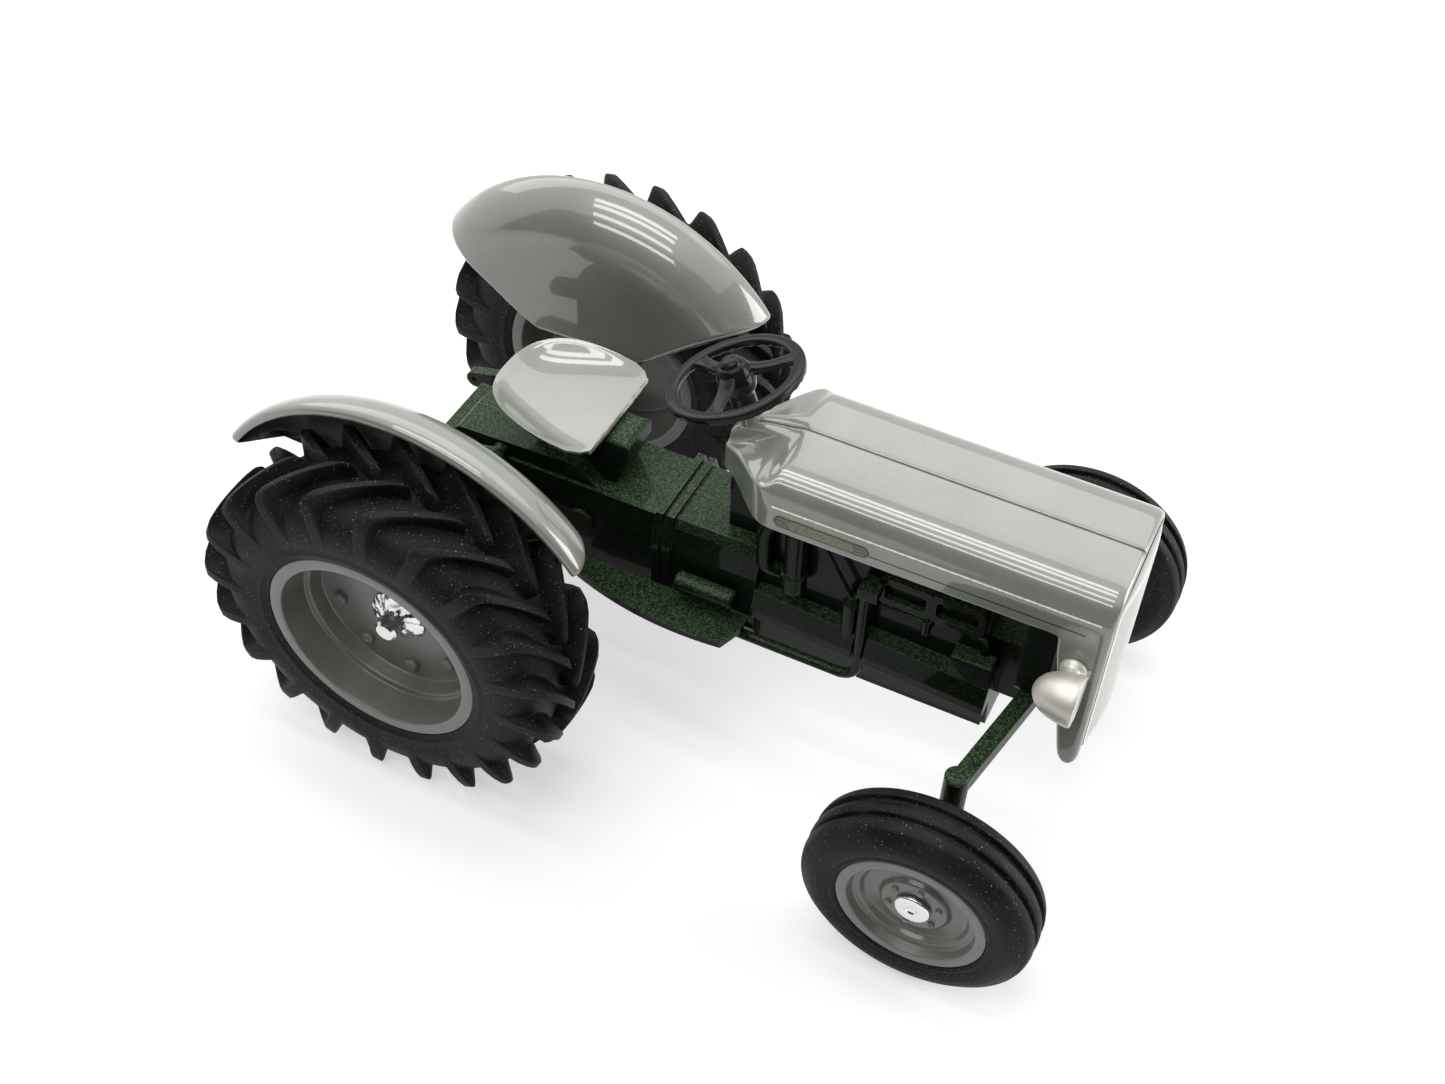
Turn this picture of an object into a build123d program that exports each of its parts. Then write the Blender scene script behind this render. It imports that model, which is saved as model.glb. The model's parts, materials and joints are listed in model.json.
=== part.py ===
from build123d import *
import os
from math import cos, degrees, radians, sin

# A 1:16 die-cast model of a small grey farm tractor of the 1950s, in millimetres.
# +X is forward, +Y is the driver's left, +Z is up, and the ground is z = 0.
# Lengths named ..._ahead are measured forward from the rear axle, and heights from the ground.
# Sideways places are measured from the centre plane, so one value serves both sides.

os.makedirs("parts", exist_ok=True)

# Stance
wheelbase = 114.3
rear_tyre_radius = 40.5
front_tyre_radius = 23.3
rear_x = -(wheelbase + front_tyre_radius - rear_tyre_radius) / 2
front_x = rear_x + wheelbase

# Fits
running_fit = 0.05
seat_gap = 0.05
side_play = 0.35
join_over = 1.0
cut_over = 1.0

# Rear wheel
rear_rim_face = 57.3
rear_rim_radius = 23.5
rear_rim_width = 21.8
rear_rim_lip = 1.3
rear_rim_bed = 22.5
rear_rim_band = 2.7
rear_disc_depth = 10.3
rear_disc_thick = 1.6
rear_step_depth = 6.8
rear_step_drop = 1.2
rear_hub_radius = 6.0
rear_tyre_bulge = 1.0
rear_shoulder_inset = 3.2
rear_shoulder_drop = 1.6
rear_skin_inset = 0.8
rear_carcass_drop = 1.6
rear_carcass_inset = 3.0
rear_carcass_side = 1.8
lug_count = 20
lug_height = 4.0
lug_width = 3.4
lug_side_width = 4.0
lug_lead = 15.3
lug_side_low = 33.0
lug_side_high = 37.0
lug_side_angle = 12.3
lug_middle_gap = 0.4

# Rear axle rod and its push nuts
rear_rod_radius = 2.5
rear_rod_end = 52.3
rear_rod_chamfer = 0.6
push_nut_radius = 6.0
push_nut_thick = 1.2

# Front wheel
front_rim_face = 53.8
front_rim_radius = 15.0
front_rim_width = 12.6
front_rim_lip = 1.0
front_rim_bed = 14.0
front_rim_band = 2.2
front_disc_depth = 3.4
front_disc_thick = 1.8
front_boss_radius = 6.5
front_boss_rise = 1.2
front_step_drop = 0.6
front_step_depth = 1.4
front_barrel_taper = 1.0
front_hub_radius = 4.0
front_tyre_bulge = 0.6
front_groove_depth = 1.3
front_groove_width = 1.5
front_rib_width = 2.4

# Front axle
post_out = 36.3
post_radius = 2.4
post_top = 46.0
post_bottom = 17.5
post_chamfer = 0.4
beam_ahead = 121.5
beam_height = 42.2
beam_depth = 3.6
beam_tall = 3.6
nail_radius = 1.3
nail_head_radius = 3.6
nail_head_thick = 0.8
nail_head_round = 0.2
nail_root = 34.6

# Gearbox, bell housing and lift cover
casting_rear_ahead = -14.0
gearbox_top = 52.6
gearbox_top_half = 8.8
gearbox_side_half = 10.2
gearbox_bottom = 24.0
gearbox_bottom_half = 7.5
gearbox_shoulder = 6.0
gearbox_foot = 8.0
rib_ahead = 38.3
rib_thick = 1.6
rib_gap = 0.9
rib_proud = 1.6
rib_corner = 1.0
bell_end_ahead = 61.5
bell_top_half = 9.6
bell_side_half = 11.2
bell_step = 1.2
bell_foot_proud = 1.0
cover_front_ahead = 19.5
cover_rear_ahead = -10.0
cover_half = 8.1
cover_top = 56.0
cover_rise = 1.2
cover_slope_length = 5.0
cover_sink = 4.0
cover_toe_sink = 0.5
cover_chamfer = 1.0
trumpet_end = 33.0
trumpet_end_radius = 6.0
trumpet_root_radius = 9.0

# Engine
engine_end_ahead = 112.0
block_half = 8.4
block_top = 68.0
block_setback = 3.0
ledge_rear_half = 11.2
ledge_front_half = 12.4
ledge_rear_top = 44.0
ledge_front_top = 42.3
ledge_slant = 4.0
ledge_flare = 1.6
lip_height = 2.2
lip_proud = 1.0
sump_half = 8.6
sump_bottom = 26.2
sump_rear_ahead = 84.0
pan_bottom = 27.4

# Nose support and radiator
nose_half = 6.0
nose_bottom = 35.0
nose_end_ahead = 126.5
support_rise = 6.0
radiator_ahead = 116.5
radiator_thick = 6.0
radiator_half = 12.0
radiator_bottom = 44.5
radiator_top = 70.0
radiator_round = 2.0

# Hood, cowl and radiator shell
hood_wall = 1.3
hood_rear_ahead = 65.5
hood_front_ahead = 132.0
hood_rear_top = 81.0
hood_front_top = 80.2
hood_flat_half = 10.8
hood_shoulder_half = 15.5
hood_crown = 0.4
crease_height = 74.6
crease_drop = 0.4
hood_half = 16.0
hood_bottom = 68.3
nose_tip_ahead = 50.5
nose_tip_half = 5.0
nose_tip_top = 76.8
nose_ridge_ahead = 56.0
nose_ridge_half = 8.5
nose_ridge_top = 79.2
nose_recess_depth = 1.1
nose_recess_tall = 3.0
nose_recess_drop = 1.5
nose_recess_face = 0.8
nose_recess_end = 0.2
nose_recess_past = 1.5
nose_bulge = 0.6
cowl_tip_flare = 0.8
cowl_ridge_flare = 2.2
cowl_crown = 0.6
cowl_crease_drop = 1.0
shell_bottom = 34.2
shell_rear_top_ahead = 121.5
shell_rear_bottom_ahead = 128.0
shell_corner_radius = 3.0
shell_chamfer = 1.0
shell_inside_length = 30.0
shell_inside_tall = 46.0
shell_inside_rise = 6.0

# Grille
grille_half = 13.6
grille_bottom = 37.0
grille_drop = 3.4
grille_thick = 1.2
grille_bulge = 1.4
grille_corner_radius = 2.9

# Headlights
lamp_ahead = 130.0
lamp_out = 22.4
lamp_height = 60.8
lamp_radius = 5.0
lamp_length = 8.6
lamp_rim = 0.8
lamp_belly_share = 0.62
lamp_belly_radius = 3.6
lamp_tip_radius = 0.4
lamp_stem_ahead = 126.9
lamp_stem_radius = 1.8
lamp_stem_rise = 1.0

# Steering
wheel_ahead = 50.4
wheel_rise = 10.5
wheel_height = nose_tip_top + wheel_rise
wheel_radius = 13.8
wheel_tube_radius = 1.15
wheel_tilt = 20.2
hub_rise = 4.5
hub_base_radius = 2.9
hub_cap_radius = 1.7
hub_cap_round = 0.5
hub_cap_tall = 1.2
spoke_width = 1.9
spoke_thick = 1.1
spoke_rise = 1.6
spoke_root = 1.0
spoke_turn = 65.0
hub_sleeve_radius = 2.6
hub_sleeve_length = 8.2
column_radius = 2.0
column_foot_height = 62.9
column_box_half = 5.0
column_box_rear_ahead = 52.5
column_box_clearance = 2.0

# Seat
seat_front_ahead = 25.0
seat_back_ahead = -1.8
seat_half = 14.5
seat_waist_ahead = 3.0
seat_waist_half = 10.0
seat_wall = 1.2
seat_floor = 64.4
seat_rim_front = 67.4
seat_rim_back = 72.6
seat_side_bow = 0.4
seat_inside_scale = 0.946
seat_brow_length = 9.0
seat_brow_rise = 1.4
seat_cut_past = 4.0
seat_cut_tall = 12.0
seat_notch_depth = 3.0
seat_notch_half = 9.6
bracket_rear_ahead = 8.0
bracket_front_ahead = 29.6
bracket_half = 5.0
bracket_nose_tall = 4.0
bracket_foot = 2.0
bracket_chamfer = 1.0
bracket_round = 1.5

# Fenders
fender_radius = 48.4
fender_wall = 1.2
fender_inner = 29.8
fender_outer = 42.2
fender_round = 4.2
fender_lip_drop = 0.7
fender_lip_width = 2.4
fender_panel_join = 2.0
fender_front_angle = 33.0
fender_rear_angle = 146.0
fender_panel_low = 52.5
fender_panel_low_half = 13.0
fender_tip_radius = 7.0
fender_tip_bulge = 1.9
fender_tab_half = 5.0
fender_tab_bottom = 44.0

# Footplates
plate_top = 36.0
plate_thick = 1.5
plate_rear_ahead = 22.0
plate_rear_half = 16.5
plate_mid_ahead = 44.0
plate_mid_half = 21.2
plate_front_ahead = 58.6
plate_front_half = 20.8
plate_nose_ahead = 60.6
plate_nose_half = 15.5

# Engine side pieces
exhaust_ahead = 85.0
exhaust_out = 12.2
exhaust_radius = 1.1
exhaust_low = 30.5
exhaust_bend = 4.0
exhaust_end_ahead = 57.0
exhaust_clearance = 0.3
manifold_height = 56.5
manifold_start_ahead = 84.0
manifold_end_ahead = 108.0
manifold_thick = 1.6
manifold_loop_tall = 4.4
manifold_bar = 1.3
manifold_lead = 3.0
manifold_outer_round = 1.6
manifold_inner_round = 1.0
manifold_flange_length = 4.0
manifold_flange_ahead = 0.6
manifold_flange_tall = 2.4
manifold_pipe_drop = 1.0
filter_ahead = 69.6
filter_radius = 2.2
filter_bowl_radius = 2.7
filter_bottom = 49.0
filter_top = 66.0
filter_bowl_tall = 4.5
filter_round = 0.6
starter_ahead = 45.0
starter_length = 13.0
starter_radius = 2.2
starter_height = 41.0
dynamo_ahead = 90.0
dynamo_length = 14.0
dynamo_radius = 3.2
dynamo_height = 50.5
motor_chamfer = 0.5
side_boss_ahead = 21.0
side_boss_height = 44.0
side_boss_radius = 3.0
side_boss_proud = 0.8
elbow_ahead = 62.8
elbow_out = 10.6
elbow_radius = 1.6
elbow_bend = 3.0
elbow_top = 64.0
elbow_bottom = 52.0
elbow_reach = 5.0
elbow_drop = 4.0
pump_ahead = 82.0
pump_out = 10.6
pump_radius = 1.9
pump_clearance = 5.0
pump_top = manifold_height - pump_clearance
pump_cap = 0.8
rod_top_ahead = 74.0
rod_top = 65.0
rod_radius = 0.55
carburettor_ahead = 97.0
carburettor_radius = 1.0
carburettor_drop = 8.0
carburettor_bottom = manifold_height - carburettor_drop
linkage_ahead = 87.0
linkage_drop = 5.5
linkage_height = manifold_height - linkage_drop
generator_ahead = 103.5
generator_length = 8.0
generator_drop = 8.5
generator_top = manifold_height - generator_drop
generator_tall = 7.7
generator_half = 1.8
generator_sink = 0.6
generator_round = 0.8
outlet_ahead = 109.0
outlet_radius = 0.8
outlet_drop = 4.7
outlet_height = manifold_height - outlet_drop
outlet_bend = 1.5
outlet_reach = 3.0

# Drawbar and lift arms at the back
drawbar_end_ahead = -33.0
drawbar_half = 5.0
drawbar_thick = 2.0
drawbar_pin_radius = 1.6
drawbar_pin_ahead = -28.5
drawbar_corner = 2.0
drawbar_root_ahead = 4.0
lift_shaft_ahead = 1.5
lift_shaft_radius = 1.6
lift_arm_out = 13.2
lift_arm_thick = 2.2
lift_arm_length = 19.0
lift_arm_drop = 4.0
lift_arm_root_radius = 2.8
lift_arm_tip_radius = 2.0
lift_arm_hole_radius = 0.8


def ahead(distance):
    """X of a place that lies this far ahead of the rear axle."""
    return rear_x + distance


def save(piece, node_name):
    """Label a finished piece and write it to its own STEP file."""
    piece.part.label = node_name
    export_step(piece.part, f"parts/{node_name}.step")


def save_pair(piece, stem):
    """Write a left-hand piece, and its mirror image for the right-hand side."""
    save(piece, f"{stem}_left")
    with BuildPart() as other_side:
        mirror(piece.part, about=Plane.XZ)
    save(other_side, f"{stem}_right")


def polygon(points):
    """A face through these points, in the plane of the sketch that it is called in."""
    return Polygon(*points, align=None)


def symmetric(half_outline):
    """A closed outline from the (half width, height) points of its left half, top first."""
    return half_outline + [(-y, z) for y, z in reversed(half_outline)]


# Planes and axes of the wheels: sketch x is the radius and sketch y is the place across the tractor.
rear_wheel_plane = Plane(origin=(rear_x, 0, rear_tyre_radius))
front_wheel_plane = Plane(origin=(front_x, 0, front_tyre_radius))
rear_wheel_axis = Axis((rear_x, 0, rear_tyre_radius), (0, 1, 0))
front_wheel_axis = Axis((front_x, 0, front_tyre_radius), (0, 1, 0))

# Rear rim: barrel with a lip at each end, a stepped dish, a flat disc and a hub tube
rear_rim_inner = rear_rim_face - rear_rim_width
rear_disc_face = rear_rim_face - rear_disc_depth
rear_disc_back = rear_disc_face - rear_disc_thick
rear_hub_inner = trumpet_end + side_play
rear_step_face = rear_rim_face - rear_step_depth
rear_band_radius = rear_rim_radius - rear_rim_band
rear_bore = rear_rod_radius + running_fit
with BuildPart() as rear_rim:
    with BuildSketch(rear_wheel_plane):
        polygon([
            (rear_bore, rear_hub_inner),
            (rear_hub_radius, rear_hub_inner),
            (rear_hub_radius, rear_disc_back),
            (rear_band_radius - 2 * rear_step_drop, rear_disc_back),
            (rear_band_radius, rear_rim_inner),
            (rear_rim_radius, rear_rim_inner),
            (rear_rim_radius, rear_rim_inner + rear_rim_lip),
            (rear_rim_bed, rear_rim_inner + rear_rim_lip),
            (rear_rim_bed, rear_rim_face - rear_rim_lip),
            (rear_rim_radius, rear_rim_face - rear_rim_lip),
            (rear_rim_radius, rear_rim_face),
            (rear_band_radius, rear_rim_face),
            (rear_band_radius - rear_step_drop / 2, rear_step_face),
            (rear_band_radius - rear_step_drop * 1.5, rear_step_face),
            (rear_band_radius - rear_step_drop * 2, rear_disc_face),
            (rear_bore, rear_disc_face),
        ])
    revolve(axis=rear_wheel_axis)
save_pair(rear_rim, "rear_rim")

# Rear tyre: a round carcass with slanting lugs that lean forward towards the middle of the tread
rear_tyre_centre = rear_rim_face - rear_rim_width / 2
rear_bead_half = rear_rim_width / 2
rear_bead_radius = rear_rim_radius + seat_gap
rear_tyre_bed = rear_rim_bed + seat_gap
rear_sidewall_half = rear_bead_half + rear_tyre_bulge
rear_lip_half = rear_bead_half - rear_rim_lip - seat_gap
rear_carcass_radius = rear_tyre_radius - lug_height


def rear_tyre_outline(tread_radius, shoulder_radius, tread_half, shoulder_half):
    """Section of the tyre, or of the skin over its lugs, with (radius, place across) corners."""
    half_outline = [
        (tread_radius, tread_half),
        (shoulder_radius, shoulder_half),
        (lug_side_low, rear_sidewall_half),
        ((rear_bead_radius + lug_side_low) / 2, rear_sidewall_half),
        (rear_bead_radius, rear_bead_half),
        (rear_bead_radius, rear_lip_half),
        (rear_tyre_bed, rear_lip_half),
    ]
    outline = half_outline + [(radius, -across) for radius, across in reversed(half_outline)]
    polygon([(radius, rear_tyre_centre + across) for radius, across in outline])


with BuildPart() as lug_skin:
    with BuildSketch(rear_wheel_plane):
        tread_half = rear_sidewall_half - rear_shoulder_inset
        lug_shoulder = rear_tyre_radius - rear_shoulder_drop
        rear_tyre_outline(rear_tyre_radius, lug_shoulder, tread_half, rear_sidewall_half - rear_skin_inset)
    revolve(axis=rear_wheel_axis)

with BuildPart() as lug_pair:
    lug_root = lug_side_low - join_over
    lug_outer = rear_sidewall_half + cut_over
    lug_bend = rear_sidewall_half - rear_shoulder_inset / 2
    side_ahead = -lug_lead / 2
    centre_ahead = lug_lead / 2
    for side, angle in ((1, lug_side_angle), (-1, lug_side_angle + 180 / lug_count)):
        middle_angle = radians(angle - degrees(lug_lead / rear_tyre_radius) / 2)
        outward = (cos(middle_angle), 0, sin(middle_angle))
        lug_plane = Plane(
            origin=(
                rear_x + lug_root * outward[0],
                rear_tyre_centre,
                rear_tyre_radius + lug_root * outward[2],
            ),
            x_dir=(sin(middle_angle), 0, -cos(middle_angle)),
            z_dir=outward,
        )
        with BuildSketch(lug_plane):
            polygon([
                (side_ahead - lug_side_width / 2, side * lug_outer),
                (side_ahead + lug_side_width / 2, side * lug_outer),
                (side_ahead + lug_width, side * lug_bend),
                (centre_ahead + lug_width / 2, side * lug_middle_gap),
                (centre_ahead - lug_width / 2, side * lug_middle_gap),
                (side_ahead - lug_side_width / 2, side * lug_bend),
            ])
        extrude(amount=rear_tyre_radius - lug_root + 2 * cut_over)
    add(lug_skin.part, mode=Mode.INTERSECT)

with BuildPart() as rear_tyre:
    with BuildSketch(rear_wheel_plane):
        carcass_shoulder = lug_side_high - rear_carcass_drop
        carcass_tread_half = tread_half - rear_carcass_inset
        carcass_side = rear_sidewall_half - rear_carcass_side
        rear_tyre_outline(rear_carcass_radius, carcass_shoulder, carcass_tread_half, carcass_side)
    revolve(axis=rear_wheel_axis)
    add([lug_pair.part.rotate(rear_wheel_axis, lug * 360 / lug_count) for lug in range(lug_count)])
save_pair(rear_tyre, "rear_tyre")

# Rear axle rod, right across, with a push nut outside each wheel
with BuildPart() as rear_axle:
    with BuildSketch(Plane.XZ.offset(-rear_rod_end)):
        with Locations((rear_x, rear_tyre_radius)):
            Circle(rear_rod_radius)
    extrude(amount=2 * rear_rod_end)
    rod_ends = rear_axle.edges().filter_by(GeomType.CIRCLE)
    chamfer(rod_ends, rear_rod_chamfer)
save(rear_axle, "rear_axle")

with BuildPart() as push_nut:
    nut_inner = rear_disc_face + side_play
    with BuildSketch(rear_wheel_plane):
        polygon([
            (rear_rod_radius + seat_gap, nut_inner + push_nut_thick / 2),
            (push_nut_radius, nut_inner),
            (push_nut_radius, nut_inner + push_nut_thick / 2),
            (rear_rod_radius + seat_gap, nut_inner + push_nut_thick * 1.5),
        ])
    revolve(axis=rear_wheel_axis)
save_pair(push_nut, "push_nut")

# Front rim: a lipped barrel, a dished disc with a raised centre, and a hub tube
front_rim_inner = front_rim_face - front_rim_width
front_disc_face = front_rim_face - front_disc_depth
front_disc_back = front_disc_face - front_disc_thick
front_hub_inner = post_out + post_radius + side_play
front_band_radius = front_rim_radius - front_rim_band
front_bore = nail_radius + running_fit
front_boss_face = front_disc_face + front_boss_rise
with BuildPart() as front_rim:
    with BuildSketch(front_wheel_plane):
        polygon([
            (front_bore, front_hub_inner),
            (front_hub_radius, front_hub_inner),
            (front_hub_radius, front_disc_back),
            (front_band_radius - front_barrel_taper, front_disc_back),
            (front_band_radius, front_rim_inner),
            (front_rim_radius, front_rim_inner),
            (front_rim_radius, front_rim_inner + front_rim_lip),
            (front_rim_bed, front_rim_inner + front_rim_lip),
            (front_rim_bed, front_rim_face - front_rim_lip),
            (front_rim_radius, front_rim_face - front_rim_lip),
            (front_rim_radius, front_rim_face),
            (front_band_radius, front_rim_face),
            (front_band_radius - front_step_drop, front_disc_face + front_step_depth),
            (front_band_radius - front_step_drop * 3, front_disc_face + front_step_depth),
            (front_band_radius - front_step_drop * 4, front_disc_face),
            (front_boss_radius + front_step_drop, front_disc_face),
            (front_boss_radius, front_boss_face),
            (front_bore, front_boss_face),
        ])
    revolve(axis=front_wheel_axis)
save_pair(front_rim, "front_rim")

# Front tyre: round shoulders and three ribs with two grooves between them
front_tyre_centre = front_rim_face - front_rim_width / 2
front_bead_half = front_rim_width / 2
front_bead_radius = front_rim_radius + seat_gap
front_tyre_bed = front_rim_bed + seat_gap
front_lip_half = front_bead_half - front_rim_lip - seat_gap
front_tread_half = front_rib_width * 1.5 + front_groove_width
with BuildPart() as front_tyre:
    with BuildSketch(front_wheel_plane):
        with BuildLine():
            groove_radius = front_tyre_radius - front_groove_depth
            shoulder_radius = front_tyre_radius - front_groove_depth * 0.6
            wall_mid = (front_bead_radius + shoulder_radius) / 2
            for side in (1, -1):
                bead_edge = front_tyre_centre + side * front_lip_half
                bead_face = front_tyre_centre + side * front_bead_half
                widest = front_tyre_centre + side * (front_bead_half + front_tyre_bulge)
                tread_edge = front_tyre_centre + side * front_tread_half
                groove_outer = front_tyre_centre + side * (front_rib_width / 2 + front_groove_width)
                groove_inner = front_tyre_centre + side * front_rib_width / 2
                Polyline(
                    (front_tyre_bed, bead_edge),
                    (front_bead_radius, bead_edge),
                    (front_bead_radius, bead_face),
                )
                ThreePointArc(
                    (front_bead_radius, bead_face),
                    (wall_mid, widest),
                    (shoulder_radius, tread_edge),
                )
                Polyline(
                    (shoulder_radius, tread_edge),
                    (front_tyre_radius, groove_outer),
                    (groove_radius, groove_outer),
                    (groove_radius, groove_inner),
                    (front_tyre_radius, groove_inner),
                )
            Line(
                (front_tyre_bed, front_tyre_centre - front_lip_half),
                (front_tyre_bed, front_tyre_centre + front_lip_half),
            )
            Line(
                (front_tyre_radius, front_tyre_centre - front_rib_width / 2),
                (front_tyre_radius, front_tyre_centre + front_rib_width / 2),
            )
        make_face()
    revolve(axis=front_wheel_axis)
save_pair(front_tyre, "front_tyre")

# The nail that holds each front wheel to its post
with BuildPart() as axle_nail:
    head_inner = front_boss_face + side_play
    with BuildSketch(front_wheel_plane):
        polygon([
            (0, nail_root),
            (nail_radius, nail_root),
            (nail_radius, head_inner),
            (nail_head_radius, head_inner),
            (nail_head_radius - nail_head_round, head_inner + nail_head_thick),
            (0, head_inner + nail_head_thick),
        ])
    revolve(axis=front_wheel_axis)
save_pair(axle_nail, "axle_nail")

# Front axle: a beam in two swept-back arms, and a round post at each end
beam_low = beam_height - beam_tall / 2
beam_high = beam_height + beam_tall / 2
with BuildPart() as front_beam:
    with BuildSketch(Plane.XY.offset(beam_low)):
        beam_x = ahead(beam_ahead)
        polygon([
            (beam_x - beam_depth / 2, 0),
            (front_x - beam_depth / 2, post_out),
            (front_x + beam_depth / 2, post_out),
            (beam_x + beam_depth / 2, 0),
            (front_x + beam_depth / 2, -post_out),
            (front_x - beam_depth / 2, -post_out),
        ])
    extrude(amount=beam_tall)
    for side in (1, -1):
        with BuildSketch(Plane.XY.offset(beam_low)):
            with Locations((front_x, side * post_out)):
                Circle(post_radius + seat_gap)
        extrude(amount=beam_tall, mode=Mode.SUBTRACT)
save(front_beam, "front_beam")

with BuildPart() as king_post:
    with BuildSketch(Plane.XY.offset(post_bottom)):
        with Locations((front_x, post_out)):
            Circle(post_radius)
    extrude(amount=post_top - post_bottom)
    chamfer(king_post.faces().sort_by(Axis.Z)[-1].edges(), post_chamfer)
    with BuildSketch(front_wheel_plane):
        polygon([
            (0, nail_root - seat_gap),
            (nail_radius + seat_gap, nail_root - seat_gap),
            (nail_radius + seat_gap, front_hub_inner),
            (0, front_hub_inner),
        ])
    revolve(axis=front_wheel_axis, mode=Mode.SUBTRACT)
save_pair(king_post, "king_post")

# The steering column's plane: its origin is the column's foot and its z points up to the wheel
column_length = (wheel_height - column_foot_height) / cos(radians(wheel_tilt))
column_foot_x = ahead(wheel_ahead) + column_length * sin(radians(wheel_tilt))
column_plane = Plane(
    origin=(column_foot_x, 0, column_foot_height),
    x_dir=(0, 1, 0),
    z_dir=(-sin(radians(wheel_tilt)), 0, cos(radians(wheel_tilt))),
)

# Main casting: lift cover, gearbox, bell housing, engine and nose support in one piece
gearbox_section = [
    (gearbox_top_half, gearbox_top),
    (gearbox_side_half, gearbox_top - gearbox_shoulder),
    (gearbox_side_half, gearbox_bottom + gearbox_foot),
    (gearbox_bottom_half, gearbox_bottom),
]
bell_section = [
    (bell_top_half - bell_step, gearbox_top + bell_step / 2),
    (bell_top_half, gearbox_top - bell_step),
    (bell_side_half, gearbox_top - gearbox_shoulder),
    (bell_side_half, gearbox_bottom + gearbox_foot),
    (gearbox_bottom_half + bell_foot_proud, gearbox_bottom),
]
rib_section = [
    (gearbox_top_half + rib_proud / 2, gearbox_top + rib_proud),
    (bell_side_half + rib_proud / 2, gearbox_top - gearbox_shoulder + rib_corner),
    (bell_side_half + rib_proud / 2, gearbox_bottom + gearbox_foot - rib_corner),
    (gearbox_bottom_half + rib_proud, gearbox_bottom - rib_proud / 2),
]


def crankcase_section(half, top):
    """Left half of the crankcase: a ledge, a slanting side and a lip over the oil pan."""
    flared = half + ledge_flare
    return [
        (half, top),
        (flared, top - ledge_slant),
        (flared, top - ledge_slant - lip_height),
        (sump_half + lip_proud, top - ledge_slant - lip_height),
        (sump_half, pan_bottom),
    ]


with BuildPart() as casting:
    # Gearbox and bell housing run along X as plain sections, with a pair of ribs where they join
    second_rib_ahead = rib_ahead + rib_thick + rib_gap
    for start, end, section in (
        (casting_rear_ahead, rib_ahead, gearbox_section),
        (rib_ahead, bell_end_ahead, bell_section),
        (rib_ahead, rib_ahead + rib_thick, rib_section),
        (second_rib_ahead, second_rib_ahead + rib_thick, rib_section),
    ):
        with BuildSketch(Plane.YZ.offset(ahead(start))):
            polygon(symmetric(section))
        extrude(amount=end - start)
    # Lift cover under the seat, with a sloping front
    with BuildSketch(Plane.XZ.offset(-cover_half)):
        polygon([
            (ahead(cover_rear_ahead), gearbox_top - cover_sink),
            (ahead(cover_rear_ahead), cover_top - cover_chamfer),
            (ahead(cover_rear_ahead) + cover_chamfer, cover_top),
            (ahead(cover_front_ahead), cover_top + cover_rise),
            (ahead(cover_front_ahead) + cover_slope_length, gearbox_top - cover_toe_sink),
            (ahead(cover_front_ahead) + cover_slope_length, gearbox_top - cover_sink),
        ])
    extrude(amount=2 * cover_half)
    # Axle housings taper out to the wheels
    with BuildSketch(rear_wheel_plane):
        polygon([
            (0, -trumpet_end),
            (trumpet_end_radius, -trumpet_end),
            (trumpet_root_radius, -gearbox_side_half),
            (trumpet_root_radius, gearbox_side_half),
            (trumpet_end_radius, trumpet_end),
            (0, trumpet_end),
        ])
    revolve(axis=rear_wheel_axis)
    # Crankcase with its ledges, from the bell housing to the front of the engine
    crankcase_table = (
        # ahead, half width of the ledge, height of the ledge
        (bell_end_ahead, ledge_rear_half, ledge_rear_top),
        (engine_end_ahead, ledge_front_half, ledge_front_top),
    )
    for station, half, top in crankcase_table:
        with BuildSketch(Plane.YZ.offset(ahead(station))):
            polygon(symmetric(crankcase_section(half, top)))
    loft(ruled=True)
    # Cylinder block above the ledges and the deep part of the oil pan below them
    block_end_ahead = engine_end_ahead - block_setback
    detail_root = ledge_front_top - 2 * join_over
    support_top = radiator_bottom + support_rise
    box_top = hood_bottom - column_box_clearance
    for start, end, half, low, high in (
        (bell_end_ahead, block_end_ahead, block_half, detail_root, block_top),
        (sump_rear_ahead, engine_end_ahead - join_over, sump_half, sump_bottom, pan_bottom + 2 * join_over),
        (block_end_ahead, nose_end_ahead, nose_half, nose_bottom, beam_low - seat_gap),
        (block_end_ahead, radiator_ahead - seat_gap, nose_half, beam_low - join_over, support_top),
        (column_box_rear_ahead, bell_end_ahead, column_box_half, gearbox_top - join_over, box_top),
    ):
        with BuildSketch(Plane.YZ.offset(ahead(start))):
            with Locations((0, (low + high) / 2)):
                Rectangle(2 * half, high - low)
        extrude(amount=end - start)
    # A round boss on each side of the gearbox
    side_boss_out = gearbox_side_half + side_boss_proud
    with BuildSketch(Plane.XZ.offset(-side_boss_out)):
        with Locations((ahead(side_boss_ahead), side_boss_height)):
            Circle(side_boss_radius)
    extrude(amount=2 * side_boss_out)
    # Bores for the rear axle rod and the steering column, and a groove for the exhaust pipe
    with BuildSketch(Plane.XZ.offset(-trumpet_end)):
        with Locations((rear_x, rear_tyre_radius)):
            Circle(rear_rod_radius + seat_gap)
    extrude(amount=2 * trumpet_end, mode=Mode.SUBTRACT)
    with BuildSketch(column_plane.offset(-seat_gap)):
        Circle(column_radius + seat_gap)
    extrude(amount=column_length, mode=Mode.SUBTRACT)
    pipe_room = exhaust_radius + exhaust_clearance
    with BuildSketch(Plane.XY.offset(exhaust_low - pipe_room)):
        with Locations((ahead(exhaust_ahead), -exhaust_out - cut_over)):
            Rectangle(2 * pipe_room, 2 * pipe_room + 2 * cut_over)
    extrude(amount=ledge_rear_top - exhaust_low + 6 * cut_over, mode=Mode.SUBTRACT)

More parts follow.
